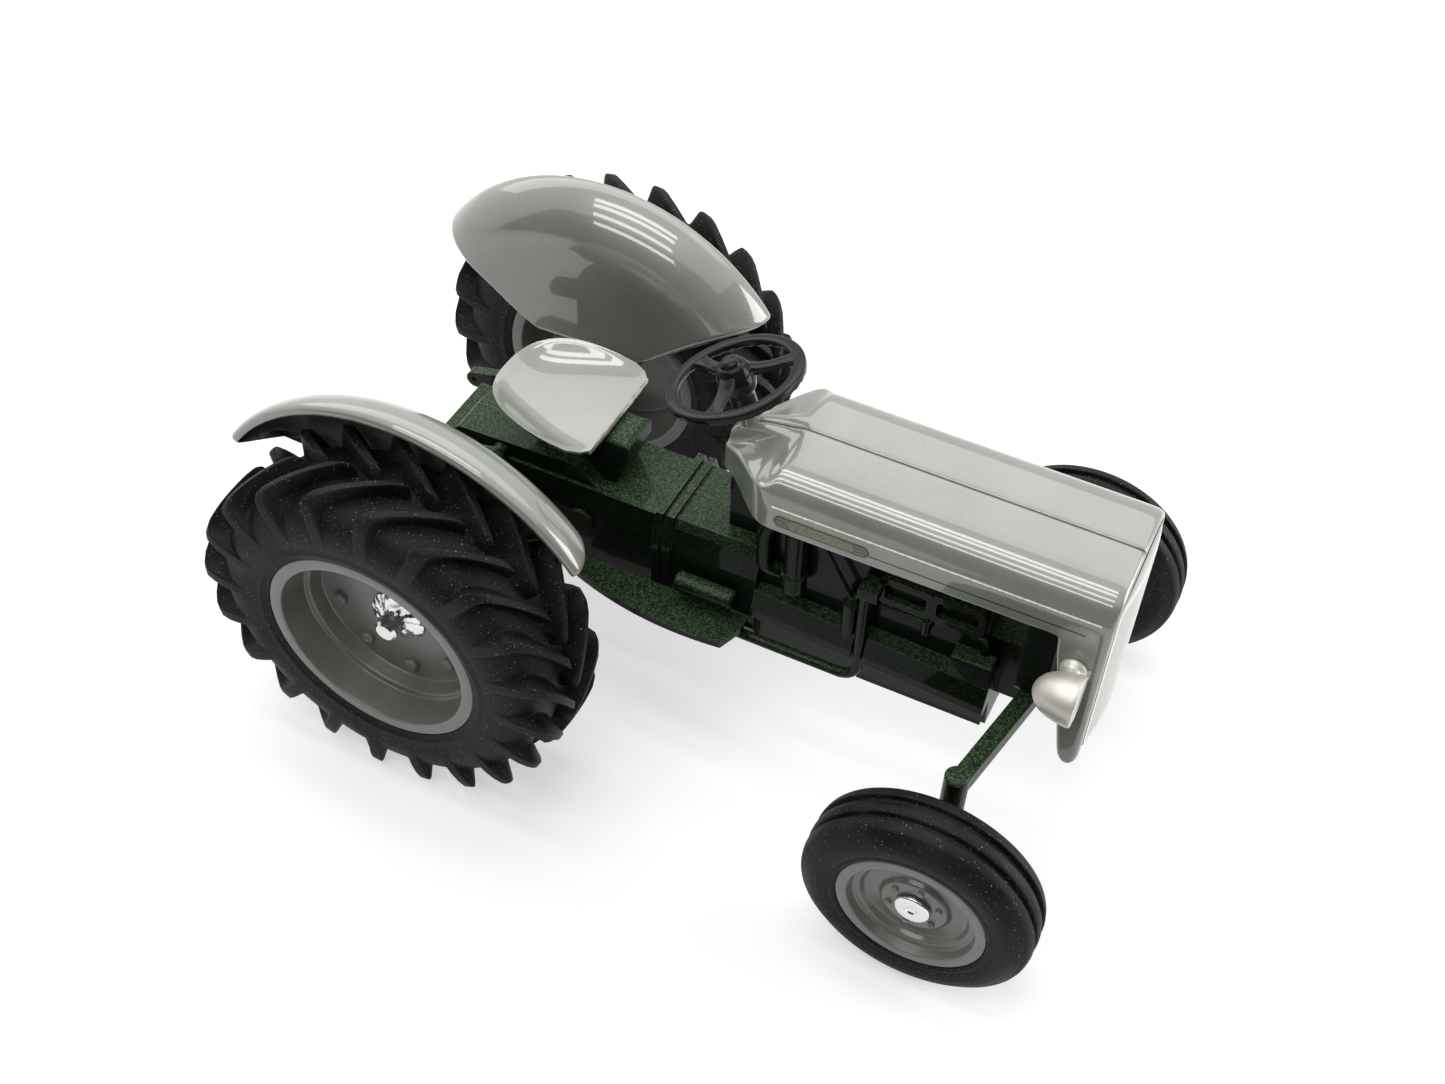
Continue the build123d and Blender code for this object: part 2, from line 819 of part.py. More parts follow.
# Engine details that are cast with the right half: elbow, pump and rod, carburettor, generator
with BuildPart() as engine_details:
    detail_pipes = (
        # radius, bend, corners as (ahead, out, height)
        (elbow_radius, elbow_bend, (
            (elbow_ahead + elbow_reach, block_half - join_over, elbow_top),
            (elbow_ahead, elbow_out, elbow_top),
            (elbow_ahead, elbow_out, elbow_bottom),
            (elbow_ahead + elbow_reach, block_half - join_over, elbow_bottom - elbow_drop),
        )),
        (rod_radius, 0, ((rod_top_ahead, pump_out, rod_top), (pump_ahead, pump_out, pump_top))),
        (carburettor_radius, 0, (
            (carburettor_ahead, block_half + carburettor_radius, carburettor_bottom),
            (carburettor_ahead, block_half + carburettor_radius, linkage_height + carburettor_radius),
        )),
        (rod_radius, 0, (
            (linkage_ahead, block_half + rod_radius / 2, linkage_height),
            (carburettor_ahead, block_half + carburettor_radius, linkage_height),
        )),
        (outlet_radius, outlet_bend, (
            (outlet_ahead - outlet_reach, block_half + outlet_radius / 2, outlet_height),
            (outlet_ahead, block_half + outlet_radius / 2, outlet_height),
            (outlet_ahead, block_half + outlet_radius / 2, generator_top - join_over),
        )),
    )
    for radius, bend, corners in detail_pipes:
        places = [Vector(ahead(along), -out, height) for along, out, height in corners]
        with BuildLine() as pipe_line:
            if bend:
                FilletPolyline(*places, radius=bend)
            else:
                Line(*places)
        with BuildSketch(Plane(origin=pipe_line.line @ 0, z_dir=pipe_line.line % 0)):
            Circle(radius)
        sweep(path=pipe_line.line)
    with BuildSketch(Plane.XZ.offset(pump_out)):
        polygon([
            (ahead(pump_ahead), detail_root),
            (ahead(pump_ahead) + pump_radius, detail_root),
            (ahead(pump_ahead) + pump_radius, pump_top - pump_cap),
            (ahead(pump_ahead) + pump_radius / 2, pump_top + pump_cap),
            (ahead(pump_ahead), pump_top + pump_cap),
        ])
    revolve(axis=Axis((ahead(pump_ahead), -pump_out, 0), (0, 0, 1)))
    generator_out = block_half + generator_half
    with BuildSketch(Plane.YZ.offset(ahead(generator_ahead))):
        with Locations((-generator_out, generator_top - generator_tall / 2)):
            generator_wide = 2 * generator_half + generator_sink
            RectangleRounded(generator_wide, generator_tall, generator_round)
    extrude(amount=generator_length)

for side_name, kept in (("left", Keep.BOTTOM), ("right", Keep.TOP)):
    with BuildPart() as body_half:
        add(casting.part)
        split(bisect_by=Plane.XZ, keep=kept)
        if side_name == "right":
            add(engine_details.part)
    save(body_half, f"body_half_{side_name}")

# Radiator core behind the shell
with BuildPart() as radiator:
    with BuildSketch(Plane.YZ.offset(ahead(radiator_ahead))):
        with Locations((0, (radiator_bottom + radiator_top) / 2)):
            RectangleRounded(2 * radiator_half, radiator_top - radiator_bottom, radiator_round)
    extrude(amount=radiator_thick)
save(radiator, "radiator")


# Hood: two half shells that meet on the centre plane
def hood_section(station, top, inset):
    """Left half of the hood's section: flat top, round shoulder, crease and plain side."""
    flat = hood_flat_half - inset / 2
    shoulder = hood_shoulder_half - inset
    side = hood_half - inset
    high = top - inset
    edge = high - hood_crown
    bulge = cos(radians(45))
    mid_shoulder = (flat + (shoulder - flat) * bulge, crease_height + (edge - crease_height) * bulge)
    with BuildSketch(Plane.YZ.offset(ahead(station)), mode=Mode.PRIVATE) as section:
        with BuildLine():
            Polyline(
                (flat, edge),
                (0, high),
                (0, hood_bottom),
                (side, hood_bottom),
                (side, crease_height - crease_drop),
                (shoulder, crease_height),
            )
            ThreePointArc((shoulder, crease_height), mid_shoulder, (flat, edge))
        make_face()
    return section.sketch


def cowl_block(inset):
    """Left half of the cowl: it narrows from the hood to a blunt nose round the column."""
    cowl_table = (
        # ahead, half width at the top, half width at the bottom, height of the top
        (nose_tip_ahead + inset, nose_tip_half, nose_tip_half + cowl_tip_flare, nose_tip_top),
        (nose_ridge_ahead + inset / 2, nose_ridge_half, nose_ridge_half + cowl_ridge_flare, nose_ridge_top),
        (hood_rear_ahead, hood_flat_half, hood_half, hood_rear_top),
    )
    sections = []
    for station, top_half, low_half, top in cowl_table:
        with BuildSketch(Plane.YZ.offset(ahead(station)), mode=Mode.PRIVATE) as section:
            polygon([
                (0, top - inset),
                (top_half - inset, top - inset - cowl_crown),
                (low_half - inset, crease_height - cowl_crease_drop),
                (low_half - inset, hood_bottom),
                (0, hood_bottom),
            ])
        sections.append(section.sketch)
    loft(sections, ruled=True)


with BuildPart() as hood_hollow:
    inner_front = hood_front_ahead - hood_wall
    hollow_ends = ((hood_rear_ahead, hood_rear_top), (inner_front, hood_front_top))
    loft([hood_section(station, top, hood_wall) for station, top in hollow_ends], ruled=True)
    cowl_block(hood_wall)

with BuildPart() as hood_half_left:
    hood_ends = ((hood_rear_ahead, hood_rear_top), (hood_front_ahead, hood_front_top))
    loft([hood_section(station, top, 0) for station, top in hood_ends], ruled=True)
    cowl_block(0)
    with BuildSketch(Plane.XZ.offset(-hood_half)):
        # The radiator shell's side runs from the hood down to its narrow foot
        shell_front = ahead(hood_front_ahead)
        polygon([
            (ahead(shell_rear_top_ahead), hood_bottom),
            (ahead(shell_rear_top_ahead), hood_bottom - shell_corner_radius),
            (ahead(shell_rear_bottom_ahead), shell_bottom + shell_chamfer),
            (ahead(shell_rear_bottom_ahead) + shell_chamfer, shell_bottom),
            (shell_front - shell_chamfer, shell_bottom),
            (shell_front, shell_bottom + shell_chamfer),
            (shell_front, hood_bottom),
        ])
    extrude(amount=hood_half)
    add(hood_hollow.part, mode=Mode.SUBTRACT)
    # The inside of the radiator shell is open below the hood
    with BuildSketch(Plane.XZ.offset(-hood_half + hood_wall)):
        with Locations((shell_front - hood_wall, hood_bottom + shell_inside_rise)):
            Rectangle(shell_inside_length, shell_inside_tall, align=Align.MAX)
    extrude(amount=hood_half, mode=Mode.SUBTRACT)
    # Room for the grille panel in the front wall
    with BuildSketch(Plane.YZ.offset(ahead(hood_front_ahead) - hood_wall)):
        with Locations((0, (grille_bottom + hood_front_top - grille_drop) / 2)):
            opening_tall = hood_front_top - grille_drop - grille_bottom + 2 * seat_gap
            RectangleRounded(2 * grille_half + 2 * seat_gap, opening_tall, grille_corner_radius + 0.1)
    extrude(amount=2 * hood_wall, mode=Mode.SUBTRACT)
    # A wedge-shaped recess in the side of the nose, which runs out before the ridge
    recess_end_ahead = nose_ridge_ahead + nose_recess_past
    recess_table = (
        # ahead, half width of the nose here, height of its top, depth of the recess, its height
        (nose_tip_ahead, nose_tip_half, nose_tip_top, nose_recess_depth, nose_recess_tall),
        (recess_end_ahead, nose_ridge_half, nose_ridge_top, nose_recess_end, nose_recess_end),
    )
    recess_ends = []
    for station, half, nose_top, depth, tall in recess_table:
        out = half + nose_bulge
        top = nose_top - nose_recess_drop
        with BuildSketch(Plane.YZ.offset(ahead(station)), mode=Mode.PRIVATE) as recess_end:
            polygon([
                (out + cut_over, top),
                (out - depth, top),
                (out - depth, top - tall * nose_recess_face),
                (out + cut_over, top - tall),
            ])
        recess_ends.append(recess_end.sketch)
    loft(recess_ends, ruled=True, mode=Mode.SUBTRACT)
    # Hole for the steering column
    with BuildSketch(column_plane):
        Circle(column_radius + seat_gap)
    extrude(amount=column_length, mode=Mode.SUBTRACT)
save_pair(hood_half_left, "hood_half")

# Grille: a bowed panel with a flat back, seated in the front of the shell
with BuildPart() as grille:
    grille_top = hood_front_top - grille_drop
    grille_back = ahead(hood_front_ahead) - hood_wall
    with BuildSketch(Plane.XY.offset(grille_bottom)):
        with BuildLine():
            Polyline(
                (grille_back + grille_thick, -grille_half),
                (grille_back, -grille_half),
                (grille_back, grille_half),
                (grille_back + grille_thick, grille_half),
            )
            ThreePointArc(
                (grille_back + grille_thick, grille_half),
                (grille_back + grille_thick + grille_bulge, 0),
                (grille_back + grille_thick, -grille_half),
            )
        make_face()
    extrude(amount=grille_top - grille_bottom)
    upright_edges = grille.edges().filter_by(Axis.X)
    fillet(upright_edges, grille_corner_radius)
save(grille, "grille")

# Headlights: a bullet with a flat lens, on a short stem from the shell
lamp_plane = Plane(origin=(ahead(lamp_ahead), lamp_out, lamp_height))
with BuildPart() as headlight:
    with BuildSketch(lamp_plane):
        with BuildLine():
            Line((0, 0), (0, lamp_radius))
            Line((0, lamp_radius), (-lamp_rim, lamp_radius))
            ThreePointArc(
                (-lamp_rim, lamp_radius),
                (-lamp_length * lamp_belly_share, lamp_belly_radius),
                (-lamp_length, lamp_tip_radius),
            )
            Line((-lamp_length, lamp_tip_radius), (-lamp_length, 0))
            Line((-lamp_length, 0), (0, 0))
        make_face()
    revolve(axis=Axis((ahead(lamp_ahead), lamp_out, lamp_height), (1, 0, 0)))
    with BuildSketch(Plane.XZ.offset(-hood_half - seat_gap)):
        with Locations((ahead(lamp_stem_ahead), lamp_height + lamp_stem_rise)):
            Circle(lamp_stem_radius)
    extrude(amount=-(lamp_out - hood_half - lamp_radius / 2))
save_pair(headlight, "headlight")

# Steering column and wheel
with BuildPart() as steering_column:
    with BuildSketch(column_plane):
        Circle(column_radius)
    extrude(amount=column_length - hub_sleeve_length - seat_gap)
save(steering_column, "steering_column")

wheel_plane = column_plane.offset(column_length)
with BuildPart() as steering_wheel:
    ring_plane = Plane(origin=wheel_plane.origin, x_dir=wheel_plane.x_dir, z_dir=wheel_plane.y_dir)
    wheel_axis = Axis(wheel_plane.origin, wheel_plane.z_dir)
    ring_radius = wheel_radius - wheel_tube_radius
    with BuildSketch(ring_plane):
        with Locations((ring_radius, 0)):
            Circle(wheel_tube_radius)
    revolve(axis=wheel_axis)
    with BuildSketch(ring_plane):
        polygon([
            (0, hub_sleeve_length),
            (hub_sleeve_radius, hub_sleeve_length),
            (hub_base_radius, wheel_tube_radius),
            (hub_base_radius, 0),
            (hub_cap_radius + hub_cap_round, -hub_rise + hub_cap_tall),
            (hub_cap_radius, -hub_rise),
            (0, -hub_rise),
        ])
    revolve(axis=wheel_axis)
    for spoke in range(3):
        spoke_angle = spoke_turn + 120 * spoke
        radial = wheel_plane.rotated((0, 0, spoke_angle))
        spoke_side = Plane(origin=radial.origin, x_dir=radial.x_dir, z_dir=radial.y_dir)
        with BuildSketch(spoke_side.offset(-spoke_width / 2)):
            polygon([
                (spoke_root, -spoke_rise),
                (ring_radius, -spoke_thick / 2),
                (ring_radius, spoke_thick / 2),
                (spoke_root, spoke_thick - spoke_rise),
            ])
        extrude(amount=spoke_width)
save(steering_wheel, "steering_wheel")


# Seat: a pressed pan with a straight front edge and a rim that rises to the back
def seat_outline(scale, level):
    """The pan's outline at one level, drawn in towards the middle of its front edge."""
    def place(forward, half):
        return (ahead(seat_front_ahead - (seat_front_ahead - forward) * scale), half * scale)

    with BuildSketch(Plane.XY.offset(level), mode=Mode.PRIVATE) as outline:
        with BuildLine():
            Line(place(seat_front_ahead, -seat_half), place(seat_front_ahead, seat_half))
            middle_ahead = (seat_front_ahead + seat_waist_ahead) / 2
            for side in (1, -1):
                ThreePointArc(
                    place(seat_front_ahead, side * seat_half),
                    place(middle_ahead, side * (seat_half + seat_side_bow)),
                    place(seat_waist_ahead, side * seat_waist_half),
                )
            ThreePointArc(
                place(seat_waist_ahead, seat_waist_half),
                place(seat_back_ahead, 0),
                place(seat_waist_ahead, -seat_waist_half),
            )
        make_face()
    return outline.sketch


def seat_block(drop, narrowing):
    """The pan's solid form from its floor to above its rim, lowered and narrowed for its inside."""
    seat_levels = (
        # scale of the outline, height above the floor
        (0.72, 0.0),
        (0.90, 1.6),
        (0.97, 4.0),
        (1.00, 10.0),
    )
    outlines = [seat_outline(scale * narrowing, seat_floor + drop + rise) for scale, rise in seat_levels]
    loft(outlines, ruled=True)


with BuildPart() as seat_inside:
    seat_block(seat_wall, seat_inside_scale)

with BuildPart() as seat:
    seat_block(0, 1)
    add(seat_inside.part, mode=Mode.SUBTRACT)
    # The rim slopes down to the front
    seat_cut_half = seat_half + 3 * cut_over
    seat_cut_top = seat_rim_back + seat_cut_tall
    with BuildSketch(Plane.XZ.offset(-seat_cut_half)):
        polygon([
            (ahead(seat_back_ahead) - seat_cut_past, seat_rim_back),
            (ahead(seat_front_ahead) - seat_brow_length, seat_rim_front + seat_brow_rise),
            (ahead(seat_front_ahead) + 2 * cut_over, seat_rim_front),
            (ahead(seat_front_ahead) + 2 * cut_over, seat_cut_top),
            (ahead(seat_back_ahead) - seat_cut_past, seat_cut_top),
        ])
    extrude(amount=2 * seat_cut_half, mode=Mode.SUBTRACT)
    # The front edge is open down to the floor of the pan
    with BuildSketch(Plane.XY.offset(seat_floor + seat_wall)):
        with Locations((ahead(seat_front_ahead), 0)):
            Rectangle(seat_notch_depth, 2 * seat_notch_half)
    extrude(amount=seat_cut_tall, mode=Mode.SUBTRACT)
save(seat, "seat")

with BuildPart() as seat_bracket:
    bracket_low = cover_top + cover_rise + seat_gap
    bracket_high = seat_floor - seat_gap
    cover_foot_ahead = cover_front_ahead + cover_slope_length
    with BuildSketch(Plane.XZ.offset(-bracket_half)):
        polygon([
            (ahead(bracket_rear_ahead), bracket_low),
            (ahead(cover_front_ahead), bracket_low),
            (ahead(cover_foot_ahead) + seat_gap, gearbox_top + seat_gap),
            (ahead(cover_foot_ahead) + bracket_foot, gearbox_top + seat_gap),
            (ahead(bracket_front_ahead), bracket_high - bracket_nose_tall),
            (ahead(bracket_front_ahead), bracket_high - bracket_chamfer),
            (ahead(bracket_front_ahead) - bracket_chamfer, bracket_high),
            (ahead(bracket_rear_ahead), bracket_high),
        ])
    extrude(amount=2 * bracket_half)
    fillet(seat_bracket.edges().filter_by(Axis.X).group_by(Axis.Z)[-1], bracket_round)
save(seat_bracket, "seat_bracket")

# Fenders: a half-moon panel inside the wheel and a rounded crown over the tyre
with BuildPart() as fender:
    start_plane = Plane(
        origin=(rear_x, 0, rear_tyre_radius),
        x_dir=(cos(radians(fender_front_angle)), 0, sin(radians(fender_front_angle))),
        z_dir=(-sin(radians(fender_front_angle)), 0, cos(radians(fender_front_angle))),
    )
    with BuildSketch(start_plane):
        with BuildLine():
            root = fender_radius - fender_round
            inner_top = fender_radius - fender_wall
            turn = fender_round * (1 - cos(radians(45)))
            small = fender_round - fender_wall
            small_turn = small * (1 - cos(radians(45)))
            panel_end = root - fender_panel_join
            lip_start = fender_outer - fender_lip_width
            lip_radius = fender_radius - fender_lip_drop
            Line((panel_end, fender_inner), (root, fender_inner))
            ThreePointArc(
                (root, fender_inner),
                (fender_radius - turn, fender_inner + turn),
                (fender_radius, fender_inner + fender_round),
            )
            Line((fender_radius, fender_inner + fender_round), (fender_radius, lip_start))
            Line((fender_radius, lip_start), (lip_radius, fender_outer))
            Line((lip_radius, fender_outer), (lip_radius - fender_wall, fender_outer))
            Line((lip_radius - fender_wall, fender_outer), (inner_top, lip_start))
            Line((inner_top, lip_start), (inner_top, fender_inner + fender_round))
            ThreePointArc(
                (inner_top, fender_inner + fender_round),
                (inner_top - small_turn, fender_inner + fender_wall + small_turn),
                (root, fender_inner + fender_wall),
            )
            Line((root, fender_inner + fender_wall), (panel_end, fender_inner + fender_wall))
            Line((panel_end, fender_inner + fender_wall), (panel_end, fender_inner))
        make_face()
    crown_axis = Axis((rear_x, 0, rear_tyre_radius), (0, -1, 0))
    revolve(axis=crown_axis, revolution_arc=fender_rear_angle - fender_front_angle)
    # The panel is cut off below by two slopes and a flat, with a tab down to the axle housing
    panel_radius = root - join_over
    with BuildSketch(Plane.XZ.offset(-fender_inner - fender_wall)):
        with BuildLine():
            front_corner = (
                rear_x + panel_radius * cos(radians(fender_front_angle)),
                rear_tyre_radius + panel_radius * sin(radians(fender_front_angle)),
            )
            rear_corner = (
                rear_x + panel_radius * cos(radians(fender_rear_angle)),
                rear_tyre_radius + panel_radius * sin(radians(fender_rear_angle)),
            )
            ThreePointArc(front_corner, (rear_x, rear_tyre_radius + panel_radius), rear_corner)
            Polyline(
                rear_corner,
                (rear_x - fender_panel_low_half, fender_panel_low),
                (rear_x - fender_tab_half, fender_panel_low),
                (rear_x - fender_tab_half, fender_tab_bottom),
                (rear_x + fender_tab_half, fender_tab_bottom),
                (rear_x + fender_tab_half, fender_panel_low),
                (rear_x + fender_panel_low_half, fender_panel_low),
                front_corner,
            )
        make_face()
    extrude(amount=fender_wall)
    # Both ends of the crown are rounded off on their outer side
    for tip_angle, inwards in ((fender_front_angle, 1), (fender_rear_angle, -1)):
        tip_turn = radians(tip_angle)
        outward = (cos(tip_turn), 0, sin(tip_turn))
        tip_plane = Plane(
            origin=(rear_x + fender_radius * outward[0], 0, rear_tyre_radius + fender_radius * outward[2]),
            x_dir=(-inwards * sin(tip_turn), 0, inwards * cos(tip_turn)),
            z_dir=outward,
        )
        across = tip_plane.y_dir.Y
        with BuildSketch(tip_plane.offset(-fender_round - 2 * cut_over)):
            with BuildLine():
                corner = (-cut_over / 2, across * (fender_outer + cut_over / 2))
                first = (-cut_over / 2, across * (fender_outer - fender_tip_radius))
                last = (fender_tip_radius, across * (fender_outer + cut_over / 2))
                Polyline(first, corner, last)
                arc_middle = (fender_tip_bulge, across * (fender_outer - fender_tip_bulge))
                ThreePointArc(first, arc_middle, last)
            make_face()
        extrude(amount=fender_round + 4 * cut_over, mode=Mode.SUBTRACT)
    with BuildSketch(rear_wheel_plane):
        polygon([
            (0, gearbox_side_half),
            (trumpet_root_radius + seat_gap, gearbox_side_half),
            (trumpet_end_radius + seat_gap, trumpet_end),
            (0, trumpet_end),
        ])
    revolve(axis=rear_wheel_axis, mode=Mode.SUBTRACT)
save_pair(fender, "fender")

# Footplates: a flat wing on each side of the bell housing
with BuildPart() as footplate:
    with BuildSketch(Plane.XY.offset(plate_top - plate_thick)):
        with BuildLine():
            plate_root = bell_side_half + rib_proud / 2 + seat_gap
            Polyline(
                (ahead(plate_nose_ahead), plate_nose_half),
                (ahead(plate_nose_ahead), plate_root),
                (ahead(plate_rear_ahead), plate_root),
                (ahead(plate_rear_ahead), plate_rear_half),
            )
            ThreePointArc(
                (ahead(plate_rear_ahead), plate_rear_half),
                (ahead(plate_mid_ahead), plate_mid_half),
                (ahead(plate_front_ahead), plate_front_half),
            )
            Line((ahead(plate_front_ahead), plate_front_half), (ahead(plate_nose_ahead), plate_nose_half))
        make_face()
    extrude(amount=plate_thick)
save_pair(footplate, "footplate")

# Exhaust on the right: down from the manifold, round a bend and back under the ledge
with BuildPart() as exhaust_pipe:
    pipe_top = (ahead(exhaust_ahead), -exhaust_out, manifold_height - manifold_pipe_drop)
    with BuildLine():
        FilletPolyline(
            pipe_top,
            (ahead(exhaust_ahead), -exhaust_out, exhaust_low),
            (ahead(exhaust_end_ahead), -exhaust_out, exhaust_low),
            radius=exhaust_bend,
        )
    with BuildSketch(Plane(origin=pipe_top, z_dir=(0, 0, -1))):
        Circle(exhaust_radius)
    sweep()
save(exhaust_pipe, "exhaust_pipe")

# Manifold on the right: two flat loops against the block, tied to the top of the pipe
with BuildPart() as manifold:
    loop_span = (manifold_end_ahead - manifold_start_ahead - manifold_lead) / 2
    manifold_face = block_half + seat_gap
    with BuildSketch(Plane.XZ.offset(manifold_face)):
        for loop in range(2):
            loop_start = manifold_start_ahead + manifold_lead + loop * loop_span
            with Locations((ahead(loop_start + loop_span / 2), manifold_height)):
                outer_tall = manifold_loop_tall + 2 * manifold_bar
                RectangleRounded(loop_span + manifold_bar / 2, outer_tall, manifold_outer_round)
        for loop in range(2):
            loop_start = manifold_start_ahead + manifold_lead + loop * loop_span
            with Locations((ahead(loop_start + loop_span / 2), manifold_height)):
                inner_long = loop_span - 1.5 * manifold_bar
                RectangleRounded(inner_long, manifold_loop_tall, manifold_inner_round, mode=Mode.SUBTRACT)
    extrude(amount=manifold_thick)
    with BuildSketch(Plane.XY.offset(manifold_height - manifold_pipe_drop + seat_gap)):
        flange_out = (manifold_face + exhaust_out + exhaust_radius) / 2
        with Locations((ahead(exhaust_ahead) + manifold_flange_ahead, -flange_out)):
            Rectangle(manifold_flange_length, exhaust_out + exhaust_radius - manifold_face)
    extrude(amount=manifold_flange_tall)
save(manifold, "manifold")

# Filter with its glass bowl on the right, standing on the ledge
with BuildPart() as fuel_filter:
    filter_out = block_half + filter_bowl_radius + seat_gap
    with BuildSketch(Plane.XZ.shift_origin((ahead(filter_ahead), 0, 0)).offset(filter_out)):
        polygon([
            (0, filter_bottom),
            (filter_bowl_radius - filter_round, filter_bottom),
            (filter_bowl_radius, filter_bottom + filter_round),
            (filter_bowl_radius, filter_bottom + filter_bowl_tall),
            (filter_radius, filter_bottom + filter_bowl_tall + filter_round),
            (filter_radius, filter_top),
            (0, filter_top),
        ])
    revolve(axis=Axis((ahead(filter_ahead), -filter_out, 0), (0, 0, 1)))
save(fuel_filter, "fuel_filter")

# Starter motor on the right of the bell housing, and dynamo on the left of the engine
engine_cylinders = (
    # node, ahead, length, side, out, height, radius
    ("starter_motor", starter_ahead, starter_length, -1, bell_side_half, starter_height, starter_radius),
    ("dynamo", dynamo_ahead, dynamo_length, 1, block_half, dynamo_height, dynamo_radius),
)
for node, start, length, side, wall, height, radius in engine_cylinders:
    with BuildPart() as engine_cylinder:
        with BuildSketch(Plane.YZ.offset(ahead(start))):
            with Locations((side * (wall + radius + seat_gap), height)):
                Circle(radius)
        extrude(amount=length)
        chamfer(engine_cylinder.edges().filter_by(GeomType.CIRCLE), motor_chamfer)
    save(engine_cylinder, node)

# Drawbar under the back of the gearbox, with a hole for a hitch pin
with BuildPart() as drawbar:
    with BuildSketch(Plane.XY.offset(gearbox_bottom - seat_gap - drawbar_thick)):
        polygon([
            (ahead(drawbar_root_ahead), -drawbar_half),
            (ahead(drawbar_root_ahead), drawbar_half),
            (ahead(drawbar_end_ahead) + drawbar_corner, drawbar_half),
            (ahead(drawbar_end_ahead), drawbar_half - drawbar_corner),
            (ahead(drawbar_end_ahead), -drawbar_half + drawbar_corner),
            (ahead(drawbar_end_ahead) + drawbar_corner, -drawbar_half),
        ])
        with Locations((ahead(drawbar_pin_ahead), 0)):
            Circle(drawbar_pin_radius, mode=Mode.SUBTRACT)
    extrude(amount=drawbar_thick)
save(drawbar, "drawbar")

# Lift arms: a stub shaft on each side of the gearbox with an arm that reaches back
lift_shaft_height = gearbox_top + lift_shaft_radius + seat_gap
with BuildPart() as lift_arm:
    with BuildSketch(Plane.XZ.offset(-cover_half - seat_gap)):
        with Locations((ahead(lift_shaft_ahead), lift_shaft_height)):
            Circle(lift_shaft_radius)
    extrude(amount=-(lift_arm_out - lift_arm_thick - cover_half))
    with BuildSketch(Plane.XZ.offset(-lift_arm_out)):
        root_place = (ahead(lift_shaft_ahead), lift_shaft_height)
        tip_place = (ahead(lift_shaft_ahead) - lift_arm_length, lift_shaft_height - lift_arm_drop)
        with Locations(root_place):
            Circle(lift_arm_root_radius)
        with Locations(tip_place):
            Circle(lift_arm_tip_radius)
        make_hull()
        with Locations(tip_place):
            Circle(lift_arm_hole_radius, mode=Mode.SUBTRACT)
    extrude(amount=lift_arm_thick)
save_pair(lift_arm, "lift_arm")
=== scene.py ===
# %% [markdown]
# This lesson dresses a die-cast scale model of a small grey farm tractor. The CAD model holds the
# sizes, and Blender adds the finishes and the forms that are too fine for it, such as round lugs,
# finger grips and crinkled chrome. Lengths are written in millimetres and turned into metres once,
# when a mesh is made, because the frame is in metres.

# %% Tools and the fixed frame
import json
import math
from math import cos, radians, sin

import bmesh
import bpy
from mathutils import Matrix, Vector


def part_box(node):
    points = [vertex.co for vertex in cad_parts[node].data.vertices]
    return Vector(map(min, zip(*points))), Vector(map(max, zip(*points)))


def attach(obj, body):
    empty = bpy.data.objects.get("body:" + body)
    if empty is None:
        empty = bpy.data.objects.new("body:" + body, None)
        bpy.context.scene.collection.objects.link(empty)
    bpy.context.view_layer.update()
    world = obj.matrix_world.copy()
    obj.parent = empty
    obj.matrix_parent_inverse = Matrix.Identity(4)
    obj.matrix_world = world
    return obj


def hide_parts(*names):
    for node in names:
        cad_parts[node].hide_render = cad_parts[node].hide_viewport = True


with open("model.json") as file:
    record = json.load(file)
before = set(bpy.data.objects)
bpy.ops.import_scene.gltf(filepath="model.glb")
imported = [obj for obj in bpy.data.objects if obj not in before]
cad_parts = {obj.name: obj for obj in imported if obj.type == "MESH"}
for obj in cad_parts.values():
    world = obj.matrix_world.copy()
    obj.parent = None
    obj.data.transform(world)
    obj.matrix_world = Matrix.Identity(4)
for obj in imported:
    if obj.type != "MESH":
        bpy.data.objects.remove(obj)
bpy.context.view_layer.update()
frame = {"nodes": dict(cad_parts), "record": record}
MM = 0.001
chassis = "chassis"

# %% [markdown]
# The photograph was taken with a phone above the right-hand front corner. The place, direction and
# lens of that camera were worked out once from the outlines of the wheels, and are written here as
# angles, because a reader can picture those.

# %% Camera at the photograph's viewpoint
camera_place = Vector((101.55, -219.5, 300.7)) * MM
camera_azimuth = radians(24.77)
camera_elevation = radians(47.02)
camera_roll = radians(1.97)
camera_lens = 42.43

camera_data = bpy.data.cameras.new("camera")
camera_data.lens = camera_lens
camera_data.sensor_width = 36
camera_data.clip_start = 0.01
camera = bpy.data.objects.new("camera", camera_data)
bpy.context.scene.collection.objects.link(camera)
bpy.context.scene.camera = camera
camera.matrix_world = Matrix.Translation(camera_place)
for angle, axis in ((camera_azimuth, "Z"), (radians(90) - camera_elevation, "X"), (camera_roll, "Z")):
    camera.matrix_world = camera.matrix_world @ Matrix.Rotation(angle, 4, axis)
print("camera distance in mm:", round(camera_place.length / MM))

# %% [markdown]
# Every finish is a node tree. Writing the trees as Python sums keeps them short: the class below
# wraps a socket, and adding or multiplying two of them makes the Math node that does it. All other
# nodes come from one method, which takes the node's type, its settings and then its sockets.


# %% A short way to write materials
class Amount:
    """A number in a material. Sums on it add Math nodes to its tree."""

    def __init__(self, finish, socket):
        self.finish = finish
        self.socket = socket

    def maths(self, operation, first, second):
        return self.finish.node("ShaderNodeMath", {"operation": operation}, {0: first, 1: second})

    def __add__(self, other):
        return self.maths("ADD", self, other)

    def __sub__(self, other):
        return self.maths("SUBTRACT", self, other)

    def __rsub__(self, other):
        return self.maths("SUBTRACT", other, self)

    def __mul__(self, other):
        return self.maths("MULTIPLY", self, other)

    def __gt__(self, other):
        return self.maths("GREATER_THAN", self, other)

    __radd__ = __add__
    __rmul__ = __mul__


